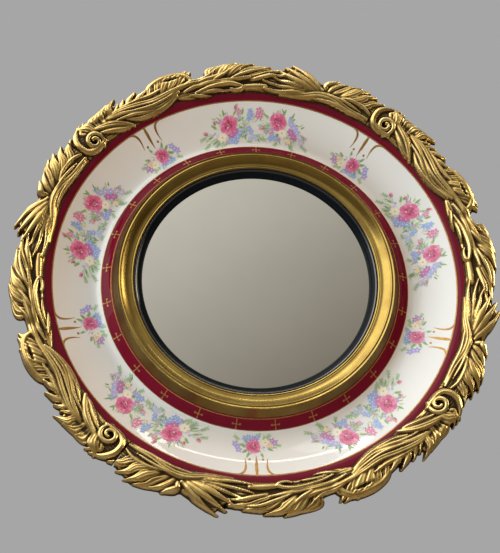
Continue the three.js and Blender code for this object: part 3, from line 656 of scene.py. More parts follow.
def stroke(path, widths, centre_angle, count=14):
    """A brush stroke on the glaze: path in [sideways, radius], sideways in millimetres clockwise."""
    curve = through(path, count)
    points, faces = [], []
    for k, point in enumerate(curve):
        ahead = curve[min(k + 1, count - 1)] - curve[max(k - 1, 0)]
        side = np.array([-ahead[1], ahead[0]]) / np.linalg.norm(ahead)
        half = np.interp(k / (count - 1), np.linspace(0, 1, len(widths)), widths) / 2
        for share, height in ((-1, -0.08), (-0.5, 0.12), (0.5, 0.12), (1, -0.08)):
            sideways, radius = point + side * half * share
            points.append(aside(radius, sideways, centre_angle, height))
    last = 4 * (count - 1)
    for k in range(0, last, 4):
        faces += [[k + j, k + (j + 1) % 4, k + 4 + (j + 1) % 4, k + 4 + j] for j in range(4)]
    return points, faces + [[0, 1, 2, 3], [last + 3, last + 2, last + 1, last]]


def lens(points, faces, outline, top, bottom):
    """Closes an outline with a point above and a point below, and adds it to a solid."""
    start, count = len(points), len(outline)
    points.extend([top, *outline, bottom])
    for k in range(count):
        here, n = start + 1 + k, start + 1 + (k + 1) % count
        faces += [[start, here, n], [start + count + 1, n, here]]


def dot(sideways, radius, size, centre_angle, sides=12):
    outline = []
    for k in range(sides):
        x, r = polar(size, TURN * k / sides, (sideways, radius))
        outline.append(aside(r, x, centre_angle, 0.02))
    top, bottom = (aside(radius, sideways, centre_angle, lift) for lift in (0.14, -0.1))
    points, faces = [], []
    lens(points, faces, outline, top, bottom)
    return points, faces


def fleur_motif(angle):
    """A small fleur that crosses the inner band."""
    upright = [(0, 185), (0, 188), (0, 191.4), (0, 194.6), (0, 197.4)]
    parts = [stroke(upright, (0.7, 1.1, 1.5, 1.1, 0.7), angle)]
    parts += [dot(0, 196.0, 1.0, angle), dot(0, 187.2, 0.9, angle)]
    for side in (-1, 1):
        arm = [(0, 191.4), (2 * side, 191.6), (4 * side, 191.4)]
        parts += [stroke(arm, (1.3, 1.0, 0.8), angle), dot(4.5 * side, 191.4, 1.15, angle)]
    return joined(parts)


def arch_motif(angle):
    """Two brackets that curve in from the rim line, with a spindle and two dots between them."""
    bracket = ((26, 257.3), (19, 256.2), (14.4, 252), (12.8, 244), (13.8, 234))
    parts = [stroke([(0, 257.6), (0, 250), (0, 241), (0, 230)], (3.4, 5.4, 4.4, 0.7), angle)]
    for side in (-1, 1):
        path = [(x * side, r) for x, r in bracket]
        parts += [stroke(path, (0.8, 2.8, 4.0, 2.8, 0.6), angle), dot(8 * side, 235.4, 1.6, angle)]
    return joined(parts)


class MIRROR_OT_gilding(bpy.types.Operator):
    """Gold lines, arches and fleurs on the porcelain"""

    bl_idname = "mirror.gilding"
    bl_label = "Gilding"

    def execute(self, context):
        sizes, counts = context.scene.mirror_sizes, context.scene.mirror_counts
        line = mm(sizes.gold_line)
        lines = (
            (mm(sizes.bezel_foot_radius) + 1.6, line),
            (mm(sizes.band_radius), line * 0.8),
            (mm(sizes.white_radius) - 0.7, line * 1.5),
        )
        fleur, arch = (solid("motif", motif) for motif in (fleur_motif(TURN / 4), arch_motif(-TURN / 4)))
        for name, mesh in (
            ("gold_lines", solid("gold_lines", joined(gold_ring(*each) for each in lines))),
            ("gold_fleurs", repeated("gold_fleurs", fleur, counts.fleurs, "gilding")),
            ("gold_arches", repeated("gold_arches", arch, counts.bouquets, "gilding")),
        ):
            place_piece(name, mesh, "gilding", record_slot="porcelain")
        return {"FINISHED"}


# ---------------------------------------------------------------- painted flowers
ROSE, BLUSH, CRIMSON = (0.62, 0.06, 0.21), (0.84, 0.36, 0.52), (0.36, 0.012, 0.09)
SKY, BLUE, DEEP_BLUE = (0.42, 0.55, 0.84), (0.19, 0.31, 0.72), (0.10, 0.15, 0.46)
LILAC, PLUM = (0.58, 0.42, 0.74), (0.48, 0.13, 0.40)
CREAM, YELLOW, AMBER = (0.87, 0.80, 0.58), (0.84, 0.64, 0.25), (0.62, 0.32, 0.06)
LEAF, MOSS, PALE_LEAF = (0.12, 0.28, 0.08), (0.05, 0.15, 0.04), (0.34, 0.52, 0.24)
MIST, SAGE = (0.48, 0.63, 0.45), (0.62, 0.70, 0.56)
STRAW, PEARL = (0.64, 0.66, 0.36), (0.80, 0.72, 0.76)
GREENS = ((PALE_LEAF, LEAF), (MIST, PALE_LEAF), (SAGE, MIST), (PALE_LEAF, MOSS), (STRAW, PALE_LEAF))
FLORETS = ((SKY, BLUE), (LILAC, PLUM), (BLUSH, ROSE), (CREAM, YELLOW), (PEARL, LILAC))
LAYER = 0.035  # lift of the first petal; each further one lies a fiftieth of this higher


# leaves and sprays of a garland, [millimetres clockwise, radius, reach, direction in degrees]
GARLAND_LEAVES = (
    (-58, 218, 12, 200), (-54, 226, 11, 140), (-48, 232, 11, 155), (-44, 240, 10, 110),
    (-32, 240, 12, 60), (-26, 233, 12, 28), (-24, 226, 11, -8), (-28, 219, 10, -35),
    (-20, 241, 9, 80), (-50, 213, 12, 215), (17, 238, 11, 150), (21, 230, 10, 190),
    (36, 243, 10, 60), (44, 238, 11, 20), (40, 220, 10, 300), (30, 219, 10, 250), (48, 220, 10, 330),
)
GARLAND_SPRAYS = (
    (-60, 212, 13, 225), (-66, 219, 11, 196), (-48, 211, 11, 240), (-36, 207, 12, 205),
    (-14, 236, 11, 60), (-18, 222, 11, 20), (-6, 213, 12, 10), (2, 212, 12, 350), (-14, 207, 9, 0),
    (12, 243, 10, 150), (14, 228, 10, 200), (54, 220, 13, 350), (58, 213, 13, 330),
    (44, 211, 12, 300), (50, 210, 9, 250), (30, 211, 10, 235),
)


class Bouquet:
    """Painted petals, each a low lens on the glaze, laid one over another.

    Places are [millimetres clockwise, radius]. Turns are in radians, degrees where they say so."""

    def __init__(self, angle):
        self.angle = angle
        self.points, self.faces, self.paint = [], [], []
        self.layer = 1

    def petal(self, centre, reach, width, turn, rim_colour, middle_colour, point=0.0, sides=10):
        """An egg-shaped petal from its centre outwards, in the direction of turn."""
        self.layer += 0.02
        outline = []
        for k in range(sides):
            a = TURN * k / sides
            swell = 0.5 * (1 + math.cos(a))
            across = 0.5 * width * math.sin(a) * (1 - point * swell)
            x, r = polar(across, turn + TURN / 4, polar(reach * swell, turn, centre))
            outline.append(aside(r, x, self.angle, LAYER * self.layer))
        x, r = polar(0.42 * reach, turn, centre)
        top, bottom = (aside(r, x, self.angle, lift) for lift in (LAYER * self.layer + 0.09, -0.12))
        lens(self.points, self.faces, outline, top, bottom)
        self.paint += [middle_colour] + [rim_colour] * (sides + 1)

    def flower(self, place, size, petals, rim_colour, middle_colour, heart, turn=0.0, width=0.62):
        for k in range(petals):
            a = turn + TURN * k / petals
            self.petal(place, size / 2, size * width / 2, a, rim_colour, middle_colour)
        middle = (place[0] - size * 0.1, place[1])
        self.petal(middle, size * 0.2, size * 0.2, 0, heart, heart, sides=8)

    def rose(self, place, size, turn):
        half = size / 2
        # whorls: petals, shift, distance from the middle, reach, width, two rim colours, middle
        for petals, shift, away, reach, width, odd, even, middle in (
            (7, 0, 0.32, 0.74, 0.98, BLUSH, (0.74, 0.17, 0.33), ROSE),
            (6, 0.5, 0.12, 0.62, 0.78, ROSE, (0.76, 0.21, 0.37), CRIMSON),
            (5, 1.1, 0, 0.44, 0.46, BLUSH, ROSE, CRIMSON),
        ):
            for k in range(petals):
                a = turn + shift + TURN * k / petals
                rim = odd if k % 2 else even
                self.petal(polar(away * half, a, place), reach * half, width * half, a, rim, middle)
        for x, r, reach, width, a, rim, middle in (
            (0.3, -0.42, 0.7, 0.46, 2.9, (0.90, 0.66, 0.72), BLUSH),
            (-0.5, 0.3, 0.5, 0.26, 1.0, (0.90, 0.62, 0.70), BLUSH),
            (-0.1, 0.12, 0.3, 0.26, turn + 0.6, CRIMSON, (0.36, 0.02, 0.08)),
        ):
            centre = (place[0] + x * half, place[1] + r * half)
            self.petal(centre, reach * half, width * half, a, rim, middle)

    def leaves(self, scale, width, pale, *spots):
        """Veined leaves, each at [sideways, radius, reach, degrees]."""
        for *place, reach, degrees in spots:
            turn, reach = math.radians(degrees), scale * reach
            self.petal(place, reach, width, turn, pale, LEAF, point=0.55, sides=12)
            middle = polar(0.1 * reach, turn, place)
            self.petal(middle, 0.75 * reach, 0.16 * width, turn, LEAF, MOSS, sides=8)

    def sprays(self, *spots):
        """Thin stems with three pairs of small leaves, each at [sideways, radius, reach, degrees]."""
        for *place, reach, degrees in spots:
            turn = math.radians(degrees)
            self.petal(place, reach, 0.9, turn, PALE_LEAF, LEAF, sides=8)
            for share, side in itertools.product((0.3, 0.55, 0.8), (-42, 42)):
                node, a = polar(share * reach, turn, place), turn + math.radians(side)
                self.petal(node, reach * 0.34, 2.6, a, MIST, PALE_LEAF, point=0.4, sides=8)

    def grass(self, place, reach, turns):
        """Thin blades that fan out from one place."""
        for k, degrees in enumerate(turns):
            length, rim = reach * (1 - 0.12 * (k % 3)), MIST if k % 2 else PALE_LEAF
            self.petal(place, length, 1.3, math.radians(degrees), rim, PALE_LEAF, point=0.5, sides=8)

    def bud(self, place, size, degrees, rim_colour=BLUSH, middle_colour=ROSE):
        turn = math.radians(degrees)
        self.petal(place, size, size * 0.62, turn, rim_colour, middle_colour, point=0.3)
        self.petal(place, size * 0.8, size * 0.34, turn + 0.25, middle_colour, CRIMSON, point=0.4)
        for a in (turn - 0.6, turn + 0.6):
            self.petal(place, size * 0.6, size * 0.24, a, PALE_LEAF, LEAF, point=0.6, sides=8)

    def foliage(self, seed, centre, spread, count):
        """Small leaves and florets scattered round a place, always drawn the same way."""
        draw = random.Random(seed)
        for k in range(count):
            turn, away = draw.uniform(0, TURN), draw.uniform(0.35, 1.0)
            x, r = (c + s * away * f(turn) for c, s, f in zip(centre, spread, (math.cos, math.sin)))
            reach, lean = draw.uniform(4.5, 9.0), draw.uniform(-0.7, 0.7)
            share, choice = draw.uniform(0.2, 0.4), draw.randrange(5)
            if not 205 < r < 247:
                continue
            if k % 5 == 4:
                self.flower((x, r), 0.75 * reach, 5, *FLORETS[choice], CREAM, turn)
            else:
                greens = GREENS[choice]
                self.petal((x, r), reach, share * reach, turn + lean, *greens, point=0.5, sides=8)

    def cluster(self, size, petals, rim_colour, middle_colour, heart, *spots):
        for k, place in enumerate(spots):
            self.flower(place, 1.22 * size, petals, rim_colour, middle_colour, heart, turn=1.7 * k)

    def mesh(self, name):
        mesh = build_mesh(name, self.points, self.faces, 80)
        layer = mesh.attributes.new("paint", "FLOAT_COLOR", "POINT")
        for item, value in zip(layer.data, self.paint):
            item.color = (*value, 1.0)
        return outwards(mesh)


def small_bouquet(angle):
    """The posy under each gold arch."""
    b = Bouquet(angle)
    b.leaves(0.95, 4.6, PALE_LEAF, (-19, 213, 10, 200), (-14, 220, 9, 150), (-6, 226, 8, 110))
    b.leaves(0.95, 4.6, PALE_LEAF, (8, 226, 9, 62), (14, 215, 10, 10))
    b.foliage(11, (1, 215), (25, 13), 46)
    b.sprays((-12, 209, 9, 235), (-4, 207, 7, 262), (18, 210, 10, 330), (-22, 216, 9, 168))
    b.grass((-8, 211), 11, (205, 222, 240, 258))
    b.grass((8, 210), 10, (285, 305, 322, 340))
    b.leaves(1, 5, (0.30, 0.46, 0.24), (10, 222, 9, 35), (12, 218, 8, 340), (10, 213, 8, 300))
    b.cluster(7.5, 5, LILAC, PLUM, CREAM, (-23, 214), (-20, 210))
    b.cluster(8, 5, LILAC, BLUE, CREAM, (22.5, 219), (25, 215.5), (21, 223))
    b.cluster(7.5, 5, SKY, BLUE, CREAM, (3, 207), (8.5, 206), (-1.6, 205), (13, 207.5))
    b.cluster(8, 5, (0.66, 0.22, 0.46), PLUM, YELLOW, (0.5, 209), (5, 211))
    b.flower((-11.5, 212), 12, 6, CREAM, (0.86, 0.84, 0.74), AMBER, turn=0.3)
    b.flower((-16, 215.5), 8.5, 6, (0.82, 0.66, 0.46), YELLOW, AMBER)
    b.rose((3.2, 218), 17.5, 0.4)
    return b.mesh("posy")


def twin_bouquet(angle):
    """Two roses with a garland of small flowers between them."""
    b = Bouquet(angle)
    b.leaves(0.95, 4.6, PALE_LEAF, *GARLAND_LEAVES)
    b.foliage(23, (-40, 224), (27, 18), 76)
    b.foliage(37, (35, 228), (27, 17), 72)
    b.foliage(41, (-4, 224), (18, 15), 30)
    b.sprays(*GARLAND_SPRAYS)
    b.grass((-46, 215), 17, (190, 203, 216, 228, 240, 252))
    b.grass((42, 215), 16, (290, 302, 315, 328, 342, 355))
    b.grass((-18, 228), 11, (20, 60, 95, 320))
    b.grass((18, 226), 12, (150, 175, 200, 225))
    b.bud((-66, 221), 8, 150)
    b.bud((-56, 231), 7, 110)
    b.bud((-30, 247), 8, 70)
    b.bud((12, 226), 9, 195, BLUSH, (0.70, 0.30, 0.34))
    b.bud((64, 220), 7, 20, (0.62, 0.44, 0.60), LILAC)
    b.flower((-24.5, 244.6), 9.5, 5, (0.78, 0.42, 0.54), (0.58, 0.14, 0.30), YELLOW, turn=0.4)
    b.cluster(7, 5, SKY, BLUE, DEEP_BLUE, (-9, 245), (-7, 240.5), (-10.4, 236.4))
    b.cluster(8, 5, (0.74, 0.32, 0.50), (0.58, 0.10, 0.28), CREAM, (3, 246), (5.4, 241), (1.6, 240))
    b.cluster(6.5, 5, SKY, BLUE, CREAM, (-9.5, 224), (-7, 219.6))
    b.cluster(5.6, 5, (0.52, 0.62, 0.82), SKY, CREAM, (-4, 213.6), (0.4, 211), (-7.4, 211))
    b.cluster(7, 5, SKY, BLUE, CREAM, (22, 216), (26.4, 213.6), (19.4, 212.6))
    low = (-30, 211), (-25, 214), (-22, 219), (-27.5, 207.5), (-34.5, 208.5)
    b.cluster(8, 5, SKY, BLUE, CREAM, *low)
    b.cluster(9.5, 6, (0.56, 0.18, 0.44), PLUM, YELLOW, (-33, 216.6), (-29, 221))
    high = (52, 231), (56, 226), (48, 234.6)
    b.cluster(8.5, 5, (0.50, 0.52, 0.80), (0.32, 0.34, 0.70), CREAM, *high)
    b.cluster(9, 6, (0.52, 0.20, 0.48), PLUM, YELLOW, (47.5, 224.6), (51, 219.6))
    b.cluster(7, 5, (0.62, 0.52, 0.72), LILAC, CREAM, (60, 221), (62, 215))
    b.flower((-45.4, 214.6), 14, 6, CREAM, (0.88, 0.86, 0.76), AMBER, turn=0.2, width=0.7)
    b.flower((35.6, 221.6), 13.5, 7, CREAM, (0.88, 0.86, 0.76), AMBER, turn=0.5, width=0.66)
    b.flower((44, 212.4), 8, 6, CREAM, YELLOW, AMBER)
    b.rose((-38, 229.6), 22.5, 0.2)
    b.rose((29.6, 234.6), 22, 0.9)
    return b.mesh("garland")


class MIRROR_OT_bouquets(bpy.types.Operator):
    """Painted posies and garlands on the white ground"""

    bl_idname = "mirror.bouquets"
    bl_label = "Painted bouquets"

    def execute(self, context):
        count = context.scene.mirror_counts.bouquets
        posy, garland = small_bouquet(-TURN / 4), twin_bouquet(TURN / 4)
        for name, mesh in (("painted_posies", posy), ("painted_garlands", garland)):
            mesh = repeated(name, mesh, count, "enamel")
            place_piece(name, mesh, "enamel", record_slot="porcelain")
        return {"FINISHED"}


# ---------------------------------------------------------------- acanthus border
VOLUTE_ANGLES = (52, 140.3, 230.9, 322.8)
BORDER_BACK = 52.0
SEGMENT_GAP = 0.4
VOLUTE_RADIUS = 277.5
JOINT_LEAD = 4.9  # degrees from a joint to the volute after it
GRID_STEP = 0.66
CROWN_INNER, CROWN_WIDTH, CROWN_EDGE, CROWN_RISE = 261.0, 60.0, 3.0, 8.6
HIGHEST, SHOULDER = 16.3, 12.5
TIP_CIRCLE, TIP_SHARE = 303.0, 0.74  # what stands out beyond the circle is drawn in to this share
EYE_RADIUS, EYE_DEPTH = 12, 4  # the sunk ground inside a volute
QUARTERS = (-90, 0, 90)  # the casting and its neighbours, so that the carving runs on at the joints

# outline of one casting, [degrees clockwise from its volute, radius]
OUTER_EDGE = (
    (-4.9, 303), (-3, 301), (-1.2, 306), (0, 310), (1, 311), (2, 307), (4, 305), (5.6, 306),
    (7, 308), (8.6, 309.5), (10.6, 312), (11.3, 301), (13, 301), (14.6, 300), (16, 302),
    (18, 296), (20.5, 297), (22, 305), (23.3, 310), (25, 312.3), (27, 313), (29, 312.3),
    (31, 310.8), (32.2, 306), (33, 301), (34, 294), (35, 291), (37.5, 293), (39, 300),
    (41, 307.5), (42.4, 310.5), (45, 312.5), (47, 310.5), (49, 307), (51, 303), (53, 301),
    (55.5, 299.5), (57.5, 298), (59, 301), (60, 304), (61.3, 314), (62, 314), (63, 312),
    (65, 306), (67, 301), (69, 297.5), (70.6, 300), (72, 304.5), (74, 305), (76, 309),
    (78, 312.5), (80, 314), (82, 309), (84, 305), (85.1, 303),
)
INNER_EDGE = (
    (-4.9, 267), (-2, 266.5), (0, 266), (4, 267.5), (8, 266), (12, 263.4), (16, 264.6), (21, 265),
    (25, 266.5), (27.6, 271), (29, 269), (31, 267), (34, 264.4), (36.5, 266), (40, 268.6),
    (46, 267.6), (50, 268), (54, 267), (58, 263.6), (62, 263.4), (66, 265), (70, 268),
    (75, 267.6), (79, 266), (83, 266.6), (85.1, 267),
)

# strands: widths and lifts at start, middle and end, number and depth of the grooves, slope of a
# pointed roof, how far the tip hooks, and how much the path waves
FINGER = dict(widths=(7, 13.5, 0.8), lifts=(-1.0, 2.3, 1.6), ridges=3, groove=1.5)
FINGER.update(roof=0.34, hook=1.2, wave=1.1)
PLAIN = dict(roof=0, hook=0, wave=0)
RIBBON = dict(PLAIN, widths=(5, 11, 3), lifts=(-0.5, 2.7, 0.6), ridges=3, groove=1.5, wave=0.8)
STEM = dict(PLAIN, widths=(4, 8, 3), lifts=(0, 2.2, 0.8), ridges=2, groove=1.1)
WISP = dict(PLAIN, widths=(2, 3.6, 1.2), lifts=(0, 2.4, 0), ridges=1, groove=0)
SPIRAL = dict(PLAIN, widths=(4.4, 5.6, 3.8), lifts=(1.0, 2.2, 1.6), ridges=1, groove=0)
SMALL, FAN = dict(widths=(4, 5, 1.2)), dict(widths=(3, 6, 1.6))
FEATHER, FLAT = dict(widths=(4, 5.5, 1.2)), dict(lifts=(-1, 2, 1.6))

# swellings of the ground: [degrees, radius, half length, half width, tilt in degrees, rise]
SWELLS = (
    (0.1, 277.5, 13, 13, 0, 1.6), (2.2, 303, 9, 8, 60, 1.6), (9.6, 303, 8, 8, 60, 1.2),
    (5.5, 294, 14, 4, -6, -2.6), (14.6, 297, 7, 6, 0, -1.2), (21, 276, 26, 8, 14, 1.6),
    (26, 300, 15, 12, 10, 3.4), (34.6, 293, 7, 12, 0, -3.4), (36, 268, 12, 5, 0, -2.2),
    (45, 300, 17, 10, -30, 2.8), (49, 279, 18, 4, 6, -2.0), (57.4, 287, 6, 9, 30, -3.0),
    (62, 289, 14, 16, 30, 2.2), (69.2, 297, 4, 12, 0, -2.6), (78, 298, 14, 12, 40, 2.8),
    (76, 271, 20, 6, 0, 0.8), (40, 289, 14, 4, 20, 1.2),
)

# the leaves of one casting: style, path in [degrees clockwise, radius], and what differs
STRANDS = [
    # the pointed leaf over the volute and its hooked flames
    (FINGER, [(2.4, 285), (1.6, 296), (0.4, 303), (0.9, 311.5)]),
    (FINGER, [(0.2, 291), (-0.6, 299), (0.9, 310.5)], dict(widths=(3, 4, 1.2))),
    (FINGER, [(4.2, 287), (4.2, 296), (4.6, 302), (5.8, 307)]),
    (FINGER, [(6, 288), (6.4, 297), (6.9, 303), (8.4, 310)]),
    (FINGER, [(8, 288.5), (8.8, 297), (9.4, 304), (10.9, 312.5)], dict(lifts=(-1, 2.4, 1))),
    (FINGER, [(9.6, 288), (10.6, 294), (11, 300)], dict(widths=(4, 4, 1.5))),
    (FINGER, [(11.4, 287.5), (12.2, 294), (13.2, 301.7)], SMALL),
    (FINGER, [(13.8, 287), (15, 296), (16.5, 303)], SMALL),
    (FINGER, [(16.4, 286), (17.4, 292), (19.2, 297.5)], SMALL),
    # long ribbons that leave the volute
    (RIBBON, [(1.5, 291), (4, 287), (8, 278), (11, 268), (12.4, 263.8)]),
    (RIBBON, [(3, 281), (6, 274), (9.5, 266.5), (11, 264.6)], dict(widths=(3, 5.5, 1.6), ridges=2)),
    (RIBBON, [(7.5, 290), (12, 283), (17, 272), (21, 268), (25, 271.5), (28.5, 279)]),
    (RIBBON, [(11.5, 275), (15, 267.5), (19.5, 265), (24, 268), (27.8, 274.6)],
     dict(widths=(3, 6.5, 2), ridges=2)),
    (RIBBON, [(6, 292.5), (11, 290), (16, 284), (21, 279), (26, 281.5), (31, 287)]),
    (RIBBON, [(12, 293), (16, 290.5), (20, 288), (24, 290)], dict(widths=(3, 6.5, 2), ridges=2)),
    (WISP, [(9, 281), (13, 276), (17.5, 268.6), (21, 266)]),
    (WISP, [(10, 286), (15, 278.5), (20, 273.4), (25, 276), (29, 283)], dict(lifts=(0, 2.6, 0.4))),
    # the round leaf that rolls forward
    (FINGER, [(19.6, 283), (20.6, 292), (21.6, 300), (23, 309)], FLAT),
    (FINGER, [(21.6, 283), (22.9, 293), (24.2, 302), (25.6, 311)], FLAT),
    (FINGER, [(23.6, 283), (25.4, 293), (27, 303), (28.4, 311.5)], FLAT),
    (FINGER, [(25.6, 283.5), (27.6, 292), (29.4, 301), (31, 309)], dict(lifts=(-1, 2, 1.4))),
    (FINGER, [(28, 285), (30.2, 293), (31.6, 300), (32.3, 306)], dict(lifts=(-1, 1.6, 0.8))),
    (STEM, [(20.6, 297), (22.4, 303), (25, 306.6), (27.4, 307), (30, 305), (31.8, 299), (32.6, 292)],
     dict(widths=(5, 11, 5), lifts=(0.5, 3, 0.5), ridges=3, groove=0.8)),
    # stems that cross to the next leaf
    (STEM, [(27, 281), (32, 286), (36, 287.5), (40, 290), (43, 298), (44.5, 306)],
     dict(widths=(3, 7, 2))),
    (STEM, [(30, 277), (34, 281), (39, 281.5), (45, 283), (49, 286)],
     dict(widths=(3, 7.5, 3), ridges=3)),
    (STEM, [(29.5, 284), (33, 289.4), (36.6, 291), (39, 297)], dict(widths=(2.5, 4.5, 2))),
    # the leaf that lies down clockwise
    (FINGER, [(37.4, 285), (38.4, 294), (39.4, 301), (41.2, 309)]),
    (FINGER, [(40, 286), (41.4, 296), (43, 304), (44.8, 312)], dict(lifts=(-1, 2.4, 1))),
    (FINGER, [(42.6, 287), (44.6, 297), (46.4, 304), (49, 308)]),
    (FINGER, [(45, 286.5), (47.8, 295), (50.4, 300.5), (53.3, 302)]),
    (FINGER, [(47.6, 285), (51, 291), (54, 296), (57.2, 298.6)]),
    (FINGER, [(49.6, 282), (52.6, 286.6), (55.2, 290), (57.6, 292)], dict(widths=(4, 5, 1.6))),
    (WISP, [(38.6, 283.6), (42, 291), (44, 299)], dict(lifts=(0, 3.6, 1))),
    (WISP, [(43.6, 284.6), (47.6, 291), (51, 296.4), (54, 298.6)], dict(lifts=(0, 3.4, 0.6))),
    # curl and plain strap under it
    (STEM, [(33, 272), (38, 276), (43, 277.5), (46.5, 274), (46.6, 270), (44.8, 268.6),
            (43.4, 270.6)],
     dict(widths=(3, 5.5, 2.4), lifts=(0, 3.4, 2))),
    (STEM, [(46.6, 273), (49.5, 273.4), (53.5, 273.6)],
     dict(widths=(6, 9, 7), lifts=(0.5, 0.9, 0.5), ridges=1, groove=0)),
    (WISP, [(31.5, 271), (34.5, 267), (37.4, 265.4)]),
    (WISP, [(34, 269.6), (38, 270.6), (41.4, 270)]),
    # the shell-like fan that opens the other way
    (FINGER, [(69.6, 284), (67, 292), (64, 303), (61.8, 315)],
     dict(widths=(3, 6.5, 1.6), lifts=(0, 3, 1.5))),
    (FINGER, [(69, 281), (64.8, 289.6), (61.6, 298), (60.2, 306)], FAN),
    (FINGER, [(68.2, 279), (63, 285), (59.4, 292), (58, 299)], FAN),
    (FINGER, [(67.6, 277.4), (62, 280.4), (57.4, 285.6), (55.4, 292)], FAN),
    (FINGER, [(67, 275.6), (61, 275.6), (56.4, 277.4), (53.8, 282)], FAN),
    (FINGER, [(66.5, 273.4), (61, 270), (57, 268.6), (54.5, 271)], dict(widths=(3, 5.5, 1.6))),
    # the feathered leaf before the next volute
    (FINGER, [(70.3, 287), (70.4, 295), (71.8, 304.5)], FEATHER),
    (FINGER, [(71.6, 285), (72.6, 295), (74.6, 305.5)], FEATHER),
    (FINGER, [(73, 284), (75, 294), (76.6, 303), (78, 312.5)]),
    (FINGER, [(75, 283), (77.4, 292), (79, 303), (80.4, 314)], dict(lifts=(-1, 2.6, 1))),
    (FINGER, [(77.4, 282), (80, 290), (81.4, 299), (82.6, 308.6)]),
    (FINGER, [(79.6, 281), (82.4, 288), (83.8, 296), (85, 303.6)]),
    (STEM, [(74, 279), (78, 283.6), (82, 283.6), (84.8, 279)],
     dict(widths=(2.5, 5, 2), lifts=(0, 2.6, 1))),
    # the long ribbon under the fan and the feathered leaf
    (RIBBON, [(58, 266), (64, 268.5), (69, 275.5), (73, 276), (79, 271), (85, 272)]),
    (WISP, [(68, 269.6), (73, 270.6), (78.6, 268.4), (84, 268.8)]),
    (WISP, [(71, 281), (74.6, 279), (78, 277.8), (82, 276)]),
    # the outer strand of the volute
    (RIBBON, [(0.9, 311), (-1.6, 304), (-3.5, 294), (-4.1, 284), (-3.7, 275), (-2.2, 269.8),
              (0.3, 268), (2.8, 269.5)],
     dict(widths=(2, 7.5, 3.5), lifts=(0.5, 3.4, 1.6), ridges=2, groove=1.2)),
]


def on_arc(degrees):
    """Arc length at the radius of the volutes."""
    return np.radians(degrees) * VOLUTE_RADIUS


def crown(radius):
    share = np.clip((radius - CROWN_INNER) / CROWN_WIDTH, 0, 1)
    return CROWN_EDGE + CROWN_RISE * np.sin(np.pi * share)


def swollen(x, y):
    """The level that the carving follows, over arc length and radius."""
    level = crown(y)
    for degrees, radius, half_length, half_width, tilt, rise in SWELLS:
        turn = math.radians(tilt)
        for shift in QUARTERS:
            dx, dy = x - on_arc(degrees + shift), y - radius
            along_it = dx * math.cos(turn) + dy * math.sin(turn)
            across = dy * math.cos(turn) - dx * math.sin(turn)
            reach = (along_it / half_length) ** 2 + (across / half_width) ** 2
            level = level + rise * np.exp(-reach)
    return level


def along(values, t):
    """A value that goes from its start over its middle to its end."""
    start, middle, end = values
    bell = 4 * t * (1 - t)
    return (start * (1 - t) + end * t) * (1 - bell) + middle * bell


def volute_path():
    t = np.linspace(0, 1, 26)
    angle = (-0.35 + 2.9 * t) * np.pi
    reach = 12.6 + (3.2 - 12.6) * t
    degrees = np.degrees(reach * np.cos(angle) / VOLUTE_RADIUS) + 0.1
    return list(zip(degrees, VOLUTE_RADIUS + reach * np.sin(angle)))


def nearest(curve, x, y):
    """For each place the squared distance to a curve, the side and the share of the way along."""
    best, side, place = np.full(x.shape, 1e9), np.zeros_like(x), np.zeros_like(x)
    lengths = np.concatenate([[0], np.cumsum(np.hypot(*np.diff(curve, axis=0).T))])
    for start, (ax, ay), (bx, by) in zip(lengths, curve, curve[1:]):
        dx, dy = bx - ax, by - ay
        size = dx * dx + dy * dy + 1e-12
        t = np.clip(((x - ax) * dx + (y - ay) * dy) / size, 0, 1)
        ex, ey = x - ax - t * dx, y - ay - t * dy
        gap = ex * ex + ey * ey
        near = gap < best
        best[near] = gap[near]
        side[near] = np.sign(ex * dy - ey * dx)[near]
        place[near] = ((start + t * np.sqrt(size)) / lengths[-1])[near]
    return best, side, place


def lay(height, level, arc, radius, path, style):
    """Raises one strand on the height field, over the level."""
    count = max(12, 8 * len(path))
    widths = style["widths"]
    (last, tip), (first, _) = path[-1], path[0]
    path = [*path[:-1], (last + math.copysign(style["hook"], last - first), tip)]
    curve = through([(on_arc(u), r) for u, r in path], count)
    bend = np.sin(np.linspace(0, 2.2 * np.pi, count) + 5 * (path[0][1] - path[0][0] % 90))
    curve[:, 0] += style["wave"] * bend * np.linspace(0.2, 1, count)
    reach = max(widths) + 2
    (low_x, low_y), (high_x, high_y) = curve.min(0) - reach, curve.max(0) + reach
    rows = np.flatnonzero((arc > low_x) & (arc < high_x))
    cols = np.flatnonzero((radius > low_y) & (radius < high_y))
    if not len(rows) or not len(cols):
        return
    block = np.ix_(rows, cols)
    gap, side, place = nearest(curve, *np.meshgrid(arc[rows], radius[cols], indexing="ij"))
    half = along(widths, place) / 2
    if style["hook"]:
        point = (widths[2] + (widths[1] - widths[2]) * (1 - place) / 0.55) / 2
        half = np.minimum(half, np.maximum(point, 0.4))
    ratio = np.sqrt(gap) / half
    inside = np.clip(ratio, 0, 1)
    top = level[block] + along(style["lifts"], place)
    if style["roof"]:
        top -= style["roof"] * half * (np.sqrt(inside**2 + 0.01) - 0.1)
    else:
        top -= 0.75 * half * (1 - np.sqrt(1 - inside**2 * 0.98))
    if style["ridges"] > 1:
        phase = (inside * side + 1) / 2 * style["ridges"]
        phase = phase - np.floor(phase)
        fade = np.clip(4 * place, 0, 1) * np.clip(4 * (1 - place), 0, 1)
        top -= style["groove"] * fade * (1 - (2 * phase - 1) ** 2)
    top -= 5 * np.clip(ratio - 1, 0, None) * half
    height[block] = np.maximum(height[block], top)


def blur(field, sigma):
    """Gaussian blur over both axes, by shifts."""
    reach = int(3 * sigma / GRID_STEP)
    weights = np.exp(-0.5 * (np.arange(-reach, reach + 1) * GRID_STEP / sigma) ** 2)
    weights /= weights.sum()
    for axis in (0, 1):
        pad = [(0, 0), (0, 0)]
        pad[axis] = (reach, reach)
        wide = np.pad(field, pad, mode="edge")
        places = np.arange(field.shape[axis])
        field = sum(w * np.take(wide, places + k, axis) for k, w in enumerate(weights))
    return field


